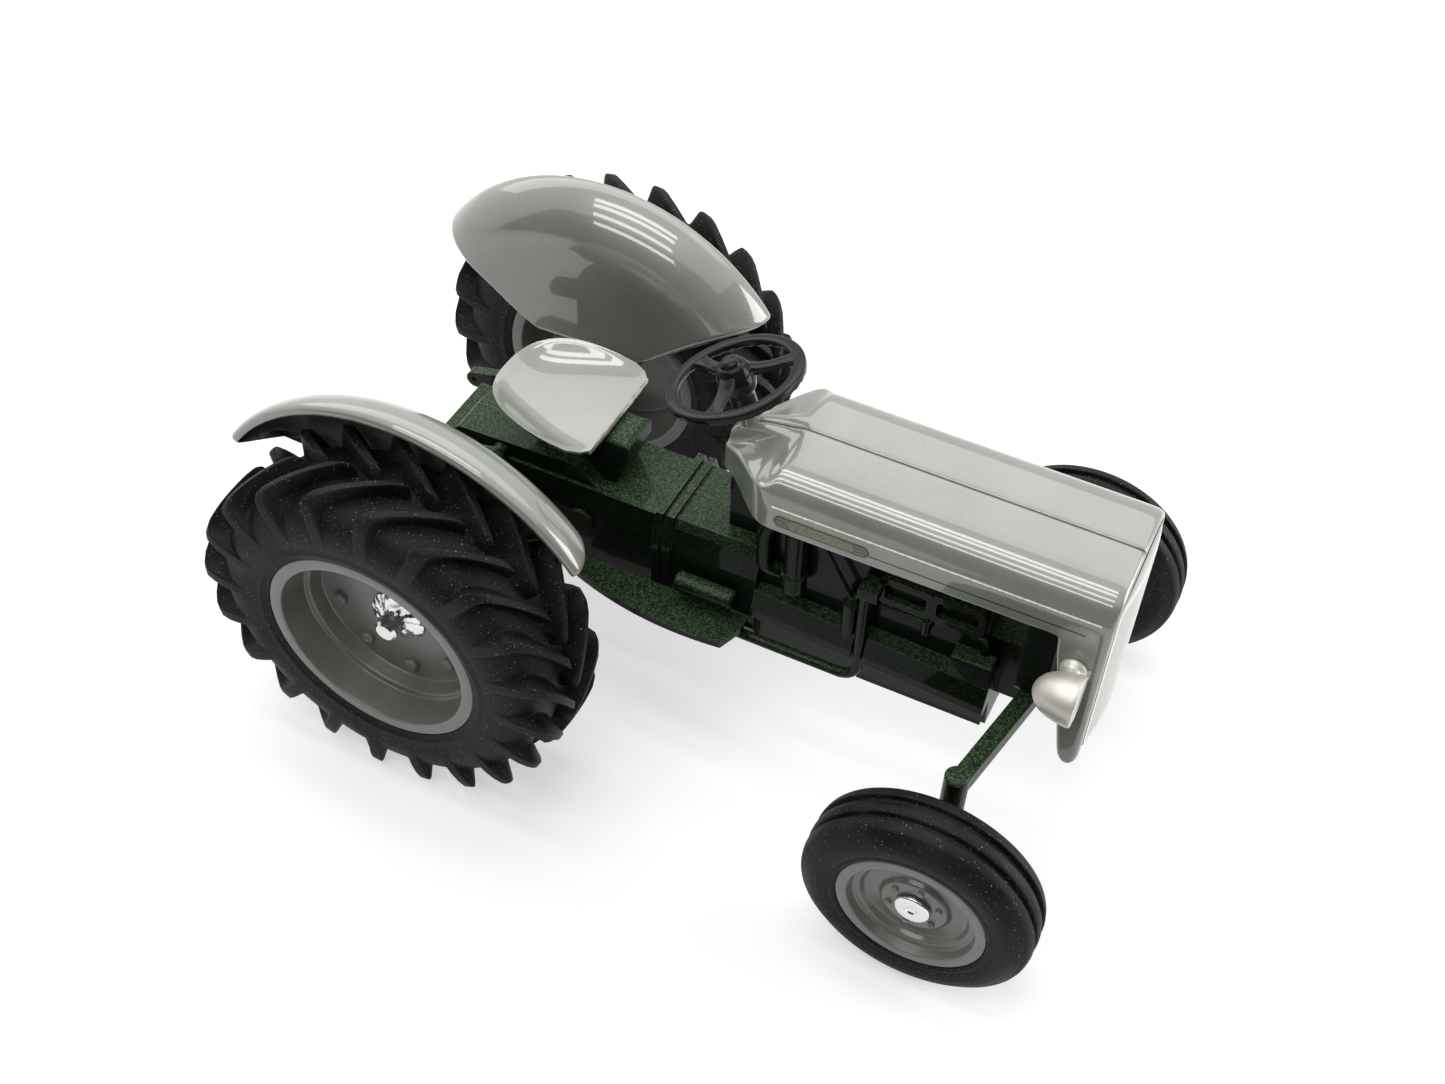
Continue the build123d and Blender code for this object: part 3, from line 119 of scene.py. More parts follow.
class Finish:
    """A material or a world, with its shader's plain sockets set by name.

    The slot is the record's name for what it paints: its own name, unless another is given.
    """

    def __init__(self, name, slot=None, world=False, **sockets):
        self.slot = slot or name
        self.owner = (bpy.data.worlds if world else bpy.data.materials).new(name)
        self.owner.use_nodes = True
        self.nodes = self.owner.node_tree.nodes
        self.links = self.owner.node_tree.links
        self.shader = self.nodes["Background" if world else "Principled BSDF"]
        for socket, value in sockets.items():
            self.set(socket.replace("_", " ").title().replace("Ior", "IOR"), value)

    def set(self, socket, value):
        """Give a shader socket a plain value or a link."""
        self.join(self.shader.inputs[socket], value)

    def join(self, target, value):
        """Link a socket, or write its value."""
        if isinstance(value, Amount):
            self.links.new(value.socket, target)
        elif isinstance(value, tuple) and len(value) == 3 and target.type == "RGBA":
            target.default_value = (*value, 1)
        else:
            target.default_value = value

    def node(self, kind, settings=None, sockets=None, output=0):
        """Add a node: first its settings, then the values or links of its sockets."""
        made = self.nodes.new(kind)
        for name, value in (settings or {}).items():
            setattr(made, name, value)
        for name, value in (sockets or {}).items():
            self.join(made.inputs[name], value)
        return Amount(self, made.outputs[output])

    def place(self):
        """The point on the piece, in metres, in the piece's own frame."""
        return self.node("ShaderNodeTexCoord", output="Object")

    def noise(self, grain, detail=2.0, roughness=0.5):
        """Soft noise whose patches are about this many millimetres across."""
        sockets = {"Vector": self.place(), "Scale": 1 / (grain * MM), "Detail": detail}
        return self.node("ShaderNodeTexNoise", None, {**sockets, "Roughness": roughness})

    def steps(self, amount, low, high):
        """0 below low, 1 above high, and a smooth rise between them."""
        sockets = {"Value": amount, "From Min": low, "From Max": high}
        return self.node("ShaderNodeMapRange", {"interpolation_type": "SMOOTHSTEP"}, sockets)

    def mix(self, share, first, second):
        """A colour between two others."""
        sockets = {0: share, 6: first, 7: second}
        return self.node("ShaderNodeMix", {"data_type": "RGBA"}, sockets, output=2)

    def bevel(self, radius):
        """The face's direction, as if its edges were rounded by this many millimetres."""
        return self.node("ShaderNodeBevel", {"samples": 4}, {"Radius": radius * MM})

    def edges(self, radius):
        """1 on outer edges and corners within this many millimetres, and 0 on flat faces."""
        sockets = {0: self.bevel(radius), 1: self.node("ShaderNodeNewGeometry", output="Normal")}
        match = self.node("ShaderNodeVectorMath", {"operation": "DOT_PRODUCT"}, sockets, output="Value")
        return self.steps(1 - match, 0.02, 0.12)

    def relief(self, height, depth, edge_radius=0.0):
        """Bump of this depth in millimetres, on faces whose edges look rounded."""
        sockets = {"Height": height, "Distance": depth * MM, "Strength": 1.0}
        if edge_radius:
            sockets["Normal"] = self.bevel(edge_radius)
        self.set("Normal", self.node("ShaderNodeBump", None, sockets))


# %% [markdown]
# The sheet-metal pieces of the real model are sprayed with a light grey enamel. It is glossy, with
# a faint orange peel and a little dust under the lacquer. Its sharp edges are painted paler and warmer,
# which is partly thin, worn paint and partly a painted highlight, as on the crease lines of the hood.

# %% Light grey enamel
enamel = Finish("grey_enamel", roughness=0.32, coat_weight=1.0, coat_roughness=0.05, coat_ior=1.65)
enamel_cloud = enamel.noise(14.0)
enamel_base = enamel.mix(enamel.steps(enamel_cloud, 0.35, 0.65), (0.222, 0.236, 0.204), (0.246, 0.260, 0.226))
# Painted highlight and wear: the edges turn paler and warmer.
enamel_edge_wear_and_highlight = enamel.mix(enamel.edges(0.25) * 0.35, enamel_base, (0.62, 0.60, 0.50))
enamel_speck = enamel.noise(0.35, 0.0) > 0.80
enamel.set("Base Color", enamel.mix(enamel_speck * 0.6, enamel_edge_wear_and_highlight, (0.12, 0.12, 0.10)))
enamel.relief(enamel.noise(1.3, 2.0), 0.05, 0.25)
print("grey enamel has", len(enamel.nodes), "nodes")

# %% [markdown]
# The castings are a very dark green metallic enamel. Close up it is full of fine flakes, and a cell
# pattern gives every flake its own brightness and tilt. By the face's normal, faces that look up get a
# lighter flake colour and steep sides a nearly black one: painted light on top, painted shade on the sides.

# %% Dark green metallic enamel
casting = Finish("dark_casting", roughness=0.36, specular_ior_level=0.05, coat_roughness=0.04)
flake_size = 0.2
flake_sockets = {"Vector": casting.place(), "Scale": 1 / (flake_size * MM)}
flake_cells = casting.node("ShaderNodeTexVoronoi", None, flake_sockets, output="Color")
flake = casting.node("ShaderNodeSeparateColor", None, {"Color": flake_cells}, output="Red")
face_normal = casting.node("ShaderNodeNewGeometry", output="Normal")
upward = casting.node("ShaderNodeSeparateXYZ", None, {0: face_normal}, output="Z")
# Painted light and shade: the share of the lighter flake colour grows as the face looks up.
top_light_share = casting.steps(upward, 0.25, 0.9) * (0.75 + casting.noise(5.0, 3.0) * 0.5)
shine = casting.steps(flake, 0.35, 1.0)
dim_shine = casting.steps(flake, 0.6, 1.0)
flake_lit_top = casting.mix(shine, (0.008, 0.020, 0.009), (0.080, 0.124, 0.062))
flake_shaded_side = casting.mix(dim_shine, (0.0025, 0.0050, 0.0025), (0.010, 0.018, 0.009))
casting_base = casting.mix(top_light_share, flake_shaded_side, flake_lit_top)
# Painted highlight: edges are mixed towards a paler green, and they also get a stronger coat.
casting_edge_highlight = casting.edges(0.2)
casting.set("Base Color", casting.mix(casting_edge_highlight * 0.3, casting_base, (0.14, 0.18, 0.12)))
casting.set("Coat Weight", 0.2 - top_light_share * 0.08 + casting_edge_highlight * 0.8)
casting.relief(flake, 0.008, 0.35)

# %% [markdown]
# The rims are the same grey as the hood but darker and more satin. The tyres are soft moulded
# rubber: nearly black, with a faint grey bloom and pale specks of dust that cling to it.

# %% Rim paint and rubber
rim_paint = Finish("rim_grey", roughness=0.34, coat_weight=0.35, coat_roughness=0.12)
rim_cloud = rim_paint.steps(rim_paint.noise(6.0), 0.3, 0.7)
rim_base = rim_paint.mix(rim_cloud, (0.150, 0.158, 0.140), (0.185, 0.192, 0.172))
# Painted highlight: the rims' edges are mixed towards a paler grey.
rim_paint.set("Base Color", rim_paint.mix(rim_paint.edges(0.2) * 0.3, rim_base, (0.36, 0.36, 0.33)))
rim_paint.relief(rim_paint.noise(0.8, 1.0), 0.006)

rubber = Finish("tyre_rubber", roughness=0.58, specular_ior_level=0.14)
rubber_bloom = rubber.steps(rubber.noise(9.0, 3.0), 0.35, 0.7)
rubber_base = rubber.mix(rubber_bloom, (0.006, 0.006, 0.0065), (0.016, 0.016, 0.017))
dust = rubber.noise(0.28, 0.0) > 0.80
fine_dust = rubber.steps(rubber.noise(0.9, 5.0, 0.8), 0.62, 0.8)
rubber_dusty = rubber.mix(fine_dust * 0.25, rubber_base, (0.16, 0.16, 0.15))
rubber.set("Base Color", rubber.mix(dust * 0.7, rubber_dusty, (0.42, 0.41, 0.38)))
rubber.set("Roughness", 0.5 + rubber_bloom * 0.14)
rubber.relief(rubber.noise(0.5, 4.0, 0.7), 0.02)

# %% [markdown]
# Four small finishes are left: plated steel for the rod, push nuts and nails, the warm silver of the
# lamps, the white of the grille and glossy black plastic for the steering wheel. The black lines
# and the badge are printed on, so they get plain inks with a little gloss.

# %% Plated steel, silver, white, black and inks
steel = Finish("bright_metal", metallic=1.0, roughness=0.16)
steel_cloud = steel.noise(1.2, 3.0)
steel.set("Base Color", steel.mix(steel_cloud, (0.60, 0.60, 0.60), (0.86, 0.86, 0.85)))
steel.set("Roughness", 0.08 + steel_cloud * 0.2)
steel.relief(steel.noise(0.6, 2.0), 0.02)

silver = Finish("silver_paint", metallic=0.45, roughness=0.45, coat_weight=0.15, coat_roughness=0.2)
silver_cloud = silver.noise(2.5, 3.0)
silver.set("Base Color", silver.mix(silver_cloud, (0.56, 0.54, 0.48), (0.72, 0.70, 0.64)))
silver.relief(silver.noise(0.25, 2.0), 0.008, 0.2)

white = Finish("grille_white", roughness=0.3, coat_weight=0.3, coat_roughness=0.1)
white.set("Base Color", white.mix(white.noise(5.0), (0.74, 0.74, 0.71), (0.82, 0.82, 0.80)))
white.relief(white.noise(0.7, 2.0), 0.006, 0.1)

plastic = Finish("black_plastic", roughness=0.13, specular_ior_level=0.15)
plastic.set("Base Color", plastic.mix(plastic.noise(4.0), (0.006, 0.006, 0.0065), (0.012, 0.012, 0.0125)))
plastic.relief(plastic.noise(0.9, 3.0), 0.015, 0.2)


def ink(name, slot, colour, darker):
    """A printed ink, a little uneven."""
    made = Finish(name, slot, roughness=0.35, coat_weight=0.5, coat_roughness=0.06)
    made.set("Base Color", made.mix(made.steps(made.noise(0.7, 3.0), 0.35, 0.6), darker, colour))
    return made


bare_metal = Finish("bare_metal", "bright_metal", metallic=0.8, roughness=0.42)
bare_cloud = bare_metal.noise(0.8, 4.0)
bare_metal.set("Base Color", bare_metal.mix(bare_cloud, (0.22, 0.20, 0.16), (0.62, 0.60, 0.55)))
bare_metal.relief(bare_metal.noise(0.4, 3.0), 0.05)
black_ink = ink("black_ink", "black_plastic", (0.015, 0.015, 0.014), (0.03, 0.03, 0.028))
gold_ink = ink("gold_ink", "bright_metal", (0.20, 0.21, 0.10), (0.11, 0.12, 0.06))
# Pale gold for the bare brass of a chip, and for the hood's crease: worn paint and a painted highlight.
gold_wear_and_highlight = ink("gold_wear_and_highlight", "bright_metal", (0.70, 0.64, 0.48), (0.84, 0.80, 0.68))
lens_glass = ink("lens_glass", "grille_white", (0.72, 0.72, 0.70), (0.60, 0.60, 0.58))
print(len(bpy.data.materials), "materials so far")

# %% [markdown]
# Most pieces are nets of points: rows of equal length joined by four-sided faces. A lathe is a net
# whose rows are one profile turned about an axle. Corners of a profile are rounded first, because
# a real casting has no sharp edge, and a small round is what catches the light.

# %% Nets, skins and rounded profiles
sides = (("left", 1), ("right", -1))


def add_piece(name, shape, finish, stands_for=(), sharp=35, body=chassis, rounds=0):
    """Make a mesh from points in millimetres and faces, let it ride on its body, and count its faces."""
    points, faces = shape
    mesh = bpy.data.meshes.new(name)
    mesh.from_pydata([Vector(point) * MM for point in points], [], faces)
    mesh.materials.append(finish.owner)
    outward = bmesh.new()
    outward.from_mesh(mesh)
    bmesh.ops.recalc_face_normals(outward, faces=outward.faces)
    outward.to_mesh(mesh)
    outward.free()
    mesh.polygons.foreach_set("use_smooth", [True] * len(mesh.polygons))
    mesh.set_sharp_from_angle(angle=radians(sharp))
    piece = bpy.data.objects.new(name, mesh)
    bpy.context.scene.collection.objects.link(piece)
    if rounds:
        round_off = piece.modifiers.new("round_off", "SUBSURF")
        round_off.levels = round_off.render_levels = rounds
    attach(piece, body)
    if stands_for:
        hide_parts(*stands_for)
    return len(faces)


def add_pair(name, shape_of_side, finish, node=None, sharp=35, wheel=None, rounds=0):
    """The same piece on the left, where the side's sign is 1, and on the right, where it is -1."""
    for side_name, side in sides:
        stands_for = [f"{node}_{side_name}"] if node else ()
        body = f"{wheel}_wheel_{side_name}" if wheel else chassis
        shape = shape_of_side(side)
        count = add_piece(f"{name}_{side_name}", shape, finish, stands_for, sharp, body, rounds)
    return count


def net_faces(rows, columns, wrap_rows=False, wrap_columns=False):
    """Four-sided faces between the points of a net."""
    faces = []
    for row in range(rows if wrap_rows else rows - 1):
        first, on = row * columns, (row + 1) % rows * columns
        for column in range(columns if wrap_columns else columns - 1):
            after = (column + 1) % columns
            faces.append((first + column, first + after, on + after, on + column))
    return faces


def skin(loops):
    """A closed skin over loops of points, with a flat cap on the first and the last."""
    count = len(loops[0])
    points = [point for loop in loops for point in loop]
    faces = net_faces(len(loops), count, wrap_columns=True)
    faces.append(tuple(range(count)))
    faces.append(tuple(range(len(points) - count, len(points))))
    return points, faces


def join(*shapes):
    """Several shapes as one list of points and one of faces."""
    points, faces = [], []
    for shape_points, shape_faces in shapes:
        first = len(points)
        points += shape_points
        faces += [tuple(first + index for index in face) for face in shape_faces]
    return points, faces


def rounded(corners, radius, steps=3, closed=True):
    """The corners of a flat outline, each replaced by a small arc."""
    made = []
    count = len(corners)
    for index, corner in enumerate(corners):
        if not closed and index in (0, count - 1):
            made.append(tuple(corner))
            continue
        here = Vector(corner)
        back = Vector(corners[index - 1]) - here
        on = Vector(corners[(index + 1) % count]) - here
        reach = min(radius, back.length * 0.45, on.length * 0.45)
        start, end = here + back.normalized() * reach, here + on.normalized() * reach
        for step in range(steps + 1):
            t = step / steps
            point = start * (1 - t) ** 2 + here * 2 * t * (1 - t) + end * t ** 2
            made.append(tuple(point))
    return made


def strip(centres, across, up, half_width, thick=0.05, sink=0.02):
    """A thin strip along a line of points. Across and up are its directions at each of them."""
    low, high = Vector(up) * -sink, Vector(up) * (thick - sink)
    loops = []
    for index, centre in enumerate(centres):
        half = half_width[index] if isinstance(half_width, list) else half_width
        left, right = Vector(centre) + Vector(across) * half, Vector(centre) - Vector(across) * half
        loops.append([left + low, left + high, right + high, right + low])
    return skin(loops)


def ragged(start, end, steps, half, amount, seed):
    """Points along a line with a half width that wavers, as worn paint does."""
    start, end = Vector(start), Vector(end)
    centres = [start.lerp(end, step / steps) for step in range(steps + 1)]
    waves = [sin(seed + step * 1.7) * sin(seed * 2.3 + step * 0.41) for step in range(steps + 1)]
    return centres, [half + amount * wave for wave in waves]


def wheel_place(x, z, side):
    """A wheel's centre, its axle's direction outwards, and the directions of 0 and 90 degrees."""
    return Vector((x, 0, z)), Vector((0, side, 0)), Vector((1, 0, 0)), Vector((0, 0, 1))


def lathe(profile, place, segments=128, closed=True):
    """Turn (radius, place along the axle) points about an axle."""
    centre, along, first, second = place
    points = []
    for turn in range(segments):
        angle = 2 * math.pi * turn / segments
        outward = first * cos(angle) + second * sin(angle)
        points += [centre + outward * radius + along * rise for radius, rise in profile]
    return points, net_faces(segments, len(profile), True, closed)


def box_mm(node):
    """A CAD node's lowest and highest corner, in millimetres."""
    low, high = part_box(node)
    return low / MM, high / MM


rear_low, rear_high = box_mm("rear_tyre_left")
front_low, front_high = box_mm("front_tyre_left")
rear_x = (rear_low.x + rear_high.x) / 2
rear_radius = (rear_high.z - rear_low.z) / 2
front_x = (front_low.x + front_high.x) / 2
front_radius = (front_high.z - front_low.z) / 2


def ahead(distance):
    """X of a place this far ahead of the rear axle, as the CAD source counts it."""
    return rear_x + distance


def round_rear_axle(radius, angle, across):
    """The point at this distance and angle from the rear axle."""
    return rear_x + radius * cos(angle), across, rear_radius + radius * sin(angle)


print("rear axle x", round(rear_x, 2), "radius", round(rear_radius, 2), "front x", round(front_x, 2))

# %% [markdown]
# A farm tyre's lugs are bars that sweep forward from the shoulder to the middle of the tread, one
# side half a step behind the other. The net below has two profiles, the bare carcass and the skin
# over the lugs, and a mask that says where the second one holds. Its rows lean with the lugs, so
# that the walls of a lug run along rows and stay clean, and the rows stand closest at those walls.

# %% Rear tyres with their lugs
lugs_each_side = 20
lug_lead = 15.3
lug_side_angle = radians(12.3)
lug_pitch = 2 * math.pi / lugs_each_side
rear_centre = (rear_low.y + rear_high.y) / 2
carcass = [
    (22.6, 9.5), (23.55, 9.6), (23.55, 10.9), (24.6, 11.25), (25.2, 11.6), (26.0, 11.5), (28.5, 11.8),
    (30.5, 11.7), (32.4, 11.2), (33.8, 10.4), (34.9, 9.3), (35.6, 8.0), (36.0, 6.4), (36.3, 4.6),
    (36.5, 2.8), (36.6, 1.3), (36.6, 0.55), (36.6, 0.2),
]
lug_skin = [
    (22.6, 9.5), (23.55, 9.6), (23.55, 10.9), (24.6, 11.25), (25.2, 11.6), (26.0, 11.5), (28.5, 11.8),
    (31.0, 11.88), (34.2, 11.85), (36.6, 11.6), (38.5, 11.1), (39.5, 10.3), (40.1, 9.0), (40.35, 6.8),
    (40.45, 4.2), (40.5, 1.8), (40.4, 0.75), (39.9, 0.3),
]
lug_wall = (
    # distance from the middle of the lug along the tread, share of the lug's height
    (0.0, 1.00), (0.7, 1.00), (1.2, 0.99), (1.45, 0.94), (1.62, 0.80), (1.85, 0.20), (2.0, 0.05),
    (2.3, 0.00), (2.75, 0.00),
)
lug_middle, lug_curve = 11.0, 1.15


def finer(profile, times=2):
    """Put evenly spaced points between those of a profile."""
    made = []
    for start, end in zip(profile, profile[1:]):
        for step in range(times):
            t = step / times
            made.append(tuple(a + (b - a) * t for a, b in zip(start, end)))
    return made + [profile[-1]]


def smooth_step(value):
    """0 to 1 with a soft start and end."""
    t = min(1.0, max(0.0, value))
    return t * t * (3 - 2 * t)


def rear_tyre_net(side):
    """Points and faces of one rear tyre."""
    bare, over = finer(carcass), finer(lug_skin)
    half_turns = 2 * lugs_each_side
    walls = [(-distance, share) for distance, share in reversed(lug_wall[1:])] + list(lug_wall)
    points = []
    for half_turn in range(half_turns):
        for offset, wall in walls:
            row_angle = lug_side_angle + half_turn * lug_pitch / 2 + offset / rear_radius
            halves = []
            for parity in (0, 1):
                height = wall if half_turn % 2 == parity else 0.0
                line = []
                for (r0, y0), (r1, y1) in zip(bare, over):
                    lean = max(0.0, 1 - y1 / lug_middle) ** lug_curve
                    angle = row_angle - lug_lead * lean / rear_radius
                    radius, across = r0 + (r1 - r0) * height, y0 + (y1 - y0) * height
                    sign = 1 if parity == 0 else -1
                    line.append(round_rear_axle(radius, angle, side * (rear_centre + sign * across)))
                halves.append(line)
            points += halves[0] + halves[1][::-1]
    rows = half_turns * len(walls)
    return points, net_faces(rows, len(points) // rows, True, True)


tyre_faces = add_pair("rear_tyre_lugged", rear_tyre_net, rubber, "rear_tyre", 40, "rear")
print("faces in a rear tyre:", tyre_faces)

# %% [markdown]
# The front tyres only steer and roll, so they have plain ribs round them: three, with two grooves
# between, a raised line on the shoulder and a fine moulding ring near the bead.

# %% Front tyres
front_centre = (front_low.y + front_high.y) / 2
front_half_profile = [
    (14.1, 5.2), (15.05, 5.3), (15.05, 6.3), (15.9, 6.65), (16.3, 6.5), (17.2, 6.75), (18.6, 6.85),
    (20.0, 6.6), (21.2, 5.9), (21.9, 5.35), (22.5, 5.0), (22.9, 4.3), (23.1, 3.4), (23.2, 2.75),
    (22.0, 2.6), (22.0, 1.4), (23.1, 1.25), (23.3, 0.4),
]
front_profile = front_half_profile + [(radius, -across) for radius, across in reversed(front_half_profile)]
front_round = [(radius, front_centre + across) for radius, across in rounded(front_profile, 0.28)]
front_faces = add_pair(
    "front_tyre_ribbed", lambda side: lathe(front_round, wheel_place(front_x, front_radius, side), 160),
    rubber, "front_tyre", 50, "front")
print("faces in a front tyre:", front_faces)

# %% [markdown]
# Both rims are turned shapes with cast bolt heads on their discs. The profiles repeat the CAD
# sizes and round every corner. The bolt heads are little lathes of their own, joined into the rim.

# %% Rims with their bolt heads
rear_disc, front_disc = 47.0, 51.6
rear_profile = [
    (2.55, 33.35), (6.0, 33.35), (6.0, 45.4), (18.4, 45.4), (20.8, 35.5), (23.5, 35.5), (23.5, 36.8),
    (22.5, 36.8), (22.5, 56.0), (23.5, 56.0), (23.5, 57.3), (20.8, 57.3),
    (20.2, 50.5), (19.0, 50.3), (18.4, 47.0), (2.55, 47.0),
]
front_rim_profile = [
    (1.35, 39.05), (4.0, 39.05), (4.0, 48.6), (11.8, 48.6), (12.8, 41.2), (15.0, 41.2), (15.0, 42.2),
    (14.0, 42.2), (14.0, 52.8), (15.0, 52.8), (15.0, 53.8), (12.8, 53.8), (12.3, 51.8), (11.0, 51.7),
    (10.3, 50.4), (7.2, 50.4), (6.5, 51.6), (1.35, 51.6),
]


def bolt_head(place, radius, tall, dimple):
    """A round bolt head that stands on a disc, with or without a dimple."""
    top = radius * 0.82
    heights = [(radius, -0.4), (radius, tall * 0.75), (top, tall), (top * 0.55, tall)]
    heights += [(top * 0.45, tall - 0.3), (0.02, tall - 0.3)] if dimple else [(0.02, tall)]
    return lathe(rounded(heights, 0.15, 2, False), place, 20, False)


def rim_shape(place, profile, disc, bolts, circle, bolt_radius, tall, first_angle):
    """A turned rim and the bolt heads on its disc."""
    centre, along, first, second = place
    shapes = [lathe(rounded(profile, 0.35), place, 144)]
    for bolt in range(bolts):
        angle = radians(first_angle + bolt * 360 / bolts)
        spot = centre + along * disc + (first * cos(angle) + second * sin(angle)) * circle
        shapes.append(bolt_head((spot, along, first, second), bolt_radius, tall, bolt % 3 == 2))
    return join(*shapes)


rim_kinds = (
    # wheel, axle x, axle height, profile, disc face, bolts, bolt circle, bolt radius, height, first angle
    ("rear", rear_x, rear_radius, rear_profile, rear_disc, 8, 14.0, 1.5, 1.3, 141.5),
    ("front", front_x, front_radius, front_rim_profile, front_disc, 6, 5.2, 0.7, 0.55, 20.0),
)
for wheel, axle_x, axle_z, *sizes in rim_kinds:
    rim_faces = add_pair(
        f"{wheel}_rim_turned", lambda side: rim_shape(wheel_place(axle_x, axle_z, side), *sizes),
        rim_paint, f"{wheel}_rim", wheel=wheel)
    print("faces in a rim:", rim_faces)

# %% [markdown]
# The push nut that holds a rear wheel is pressed from thin plated sheet, and its crinkles throw the
# light about. Waves of two lengths round the disc give that look. The front wheels turn on nails
# with a flat head and a dimple in the middle.

# %% Push nuts and nails
nut_rings = (
    # radius, place above the disc, depth of the crinkles
    (2.6, 1.75, 0.0), (3.0, 1.75, 0.10), (3.8, 1.35, 0.22), (4.8, 1.00, 0.34), (5.6, 0.70, 0.28),
    (6.0, 0.45, 0.12), (5.9, 0.15, 0.05), (2.6, 0.90, 0.0),
)
nut_turns = 120
nail_profile = rounded([
    (0.01, 34.6), (1.3, 34.6), (1.3, 51.95), (3.6, 51.95), (3.55, 52.5), (3.2, 52.75), (1.1, 52.78),
    (0.8, 52.4), (0.01, 52.4),
], 0.15, 2, False)


def push_nut(side):
    """Points and faces of one crinkled push nut."""
    points = []
    for turn in range(nut_turns):
        angle = 2 * math.pi * turn / nut_turns
        for radius, rise, crinkle in nut_rings:
            wave = sin(8 * angle + radius) + 0.6 * sin(19 * angle + 2 * radius)
            across = side * (rear_disc + rise + crinkle * wave)
            points.append(round_rear_axle(radius, angle, across))
    return points, net_faces(nut_turns, len(nut_rings), True, True)


print("faces in a push nut:", add_pair("push_nut_pressed", push_nut, steel, "push_nut", 60))
nail_faces = add_pair(
    "axle_nail_headed", lambda side: lathe(nail_profile, wheel_place(front_x, front_radius, side), 64, False),
    steel, "axle_nail")
print("faces in a nail:", nail_faces)

# %% [markdown]
# The seat is a pressed pan: nearly flat in front, rising in one soft sweep to a rolled rim at the
# back. Its plan is a half circle on a straight front edge with two sharp corners. Rings between the
# middle and that outline make the bowl, and the same rings, one wall lower, make its underside.

# %% Seat pan
seat_low, seat_high = box_mm("seat")
seat_wall = 1.1
seat_middle = Vector((ahead(12.5), 0))
seat_front, seat_back = seat_high.x, seat_low.x
seat_straight = 7.5
seat_half = (seat_high.y - seat_low.y) / 2
pan_height = seat_low.z + 1.9
rim_rise_back = seat_high.z - pan_height - 0.15
rim_rise_front = 1.6


def seat_outline(steps=60):
    """The pan's outline from one front corner round the back to the other, then along the front."""
    bend = seat_front - seat_straight
    outline = []
    for step in range(steps + 1):
        angle = math.pi * step / steps
        across = math.copysign(abs(cos(angle)) ** 0.8, cos(angle))
        outline.append((bend - (bend - seat_back) * sin(angle) ** 0.9, seat_half * across))
    corner = [(seat_front - 4.0, seat_half - 0.15), (seat_front - 1.3, seat_half - 1.3)]
    corner.append((seat_front, seat_half - 2.9))
    front = [(seat_front - 0.5, (seat_half - 2.9) * share) for share in (-0.6, -0.3, 0.0, 0.3, 0.6)]
    return corner[::-1] + outline + [(x, -y) for x, y in corner] + front


def seat_rings():
    """Loops of points from the middle out to the rim and back underneath."""
    shares = (0.02, 0.2, 0.4, 0.55, 0.68, 0.78, 0.86, 0.92, 0.96, 0.985, 1.0)
    outline = [Vector(point) for point in seat_outline()]
    upper = []
    for share in shares:
        ring = []
        for corner in outline:
            at = seat_middle + (corner - seat_middle) * share
            backness = smooth_step((seat_front - corner.x) / (seat_front - seat_back))
            sideness = abs(corner.y) / seat_half
            rise = rim_rise_front * sideness ** 2 + (rim_rise_back - rim_rise_front) * backness
            bowl = share ** 3.2 * (1 - 0.10 * smooth_step((share - 0.93) / 0.07))
            ring.append(Vector((at.x, at.y, pan_height + rise * bowl)))
        upper.append(ring)
    down = Vector((0, 0, seat_wall))
    lower = [[point - down + (Vector((*seat_middle, point.z)) - point) * 0.03 for point in ring]
             for ring in reversed(upper)]
    return upper + lower


print("seat faces:", add_piece("seat_pan_pressed", skin(seat_rings()), enamel, ["seat"], 60))
edge_steps = 40
edge_places, edge_halves = [], []
for step in range(edge_steps + 1):
    across = (seat_half - 2.6) * (1 - 2 * step / edge_steps)
    rise = pan_height + 0.9 * rim_rise_front * (across / seat_half) ** 2
    edge_places.append((seat_front - 0.5 + 0.5 * abs(across) / seat_half, across, rise - 0.5))
    edge_halves.append(0.42 + 0.14 * sin(step * 1.9) * sin(step * 0.7 + 1))
worn_edge = strip(edge_places, (-0.15, 0, 0.99), (0.99, 0, 0.15), edge_halves, 0.3, 0.18)
print("faces of the worn edge:", add_piece("seat_worn_edge", worn_edge, bare_metal))

# %% [markdown]
# A fender is one deep pressing. Its section is a quarter of an ellipse, from the flat inner panel up
# to the lip, where the sheet is turned down. The net has one row for each step round the wheel and
# the section along each row. The ends are drawn back at the panel, which gives the round tongue in
# front, and the panel's lower edge is a level line that rises at both ends.

# %% Fenders
fender_reach, fender_inner, fender_outer = 48.2, 30.0, 42.3
panel_radius = 36.5
fender_wall = 1.2
lip_height, lip_edge, crown_in = 2.2, 0.5, 0.3
front_draw, rear_draw, panel_draw = 6.5, 4.0, 0.3
tab_half, tab_bottom, tab_top = 5.0, 44.0, 54.0
panel_foot, panel_foot_half, panel_foot_slope = 12.0, 13.0, 0.673
fender_front, fender_rear = 33.0, 146.0
crown_angles = (82, 70, 58, 46, 34, 22, 10, 0)
panel_steps = (0.25, 0.5, 0.75, 0.93, 1.0)
fender_rows = 44


def panel_edge(angle):
    """Distance from the axle to the panel's lower edge, in this direction."""
    level = panel_foot / sin(angle)
    if level * abs(cos(angle)) <= panel_foot_half:
        return level
    lift = sin(angle) - panel_foot_slope * abs(cos(angle))
    return min(panel_radius - 1.0, (panel_foot - panel_foot_slope * panel_foot_half) / max(lift, 0.01))


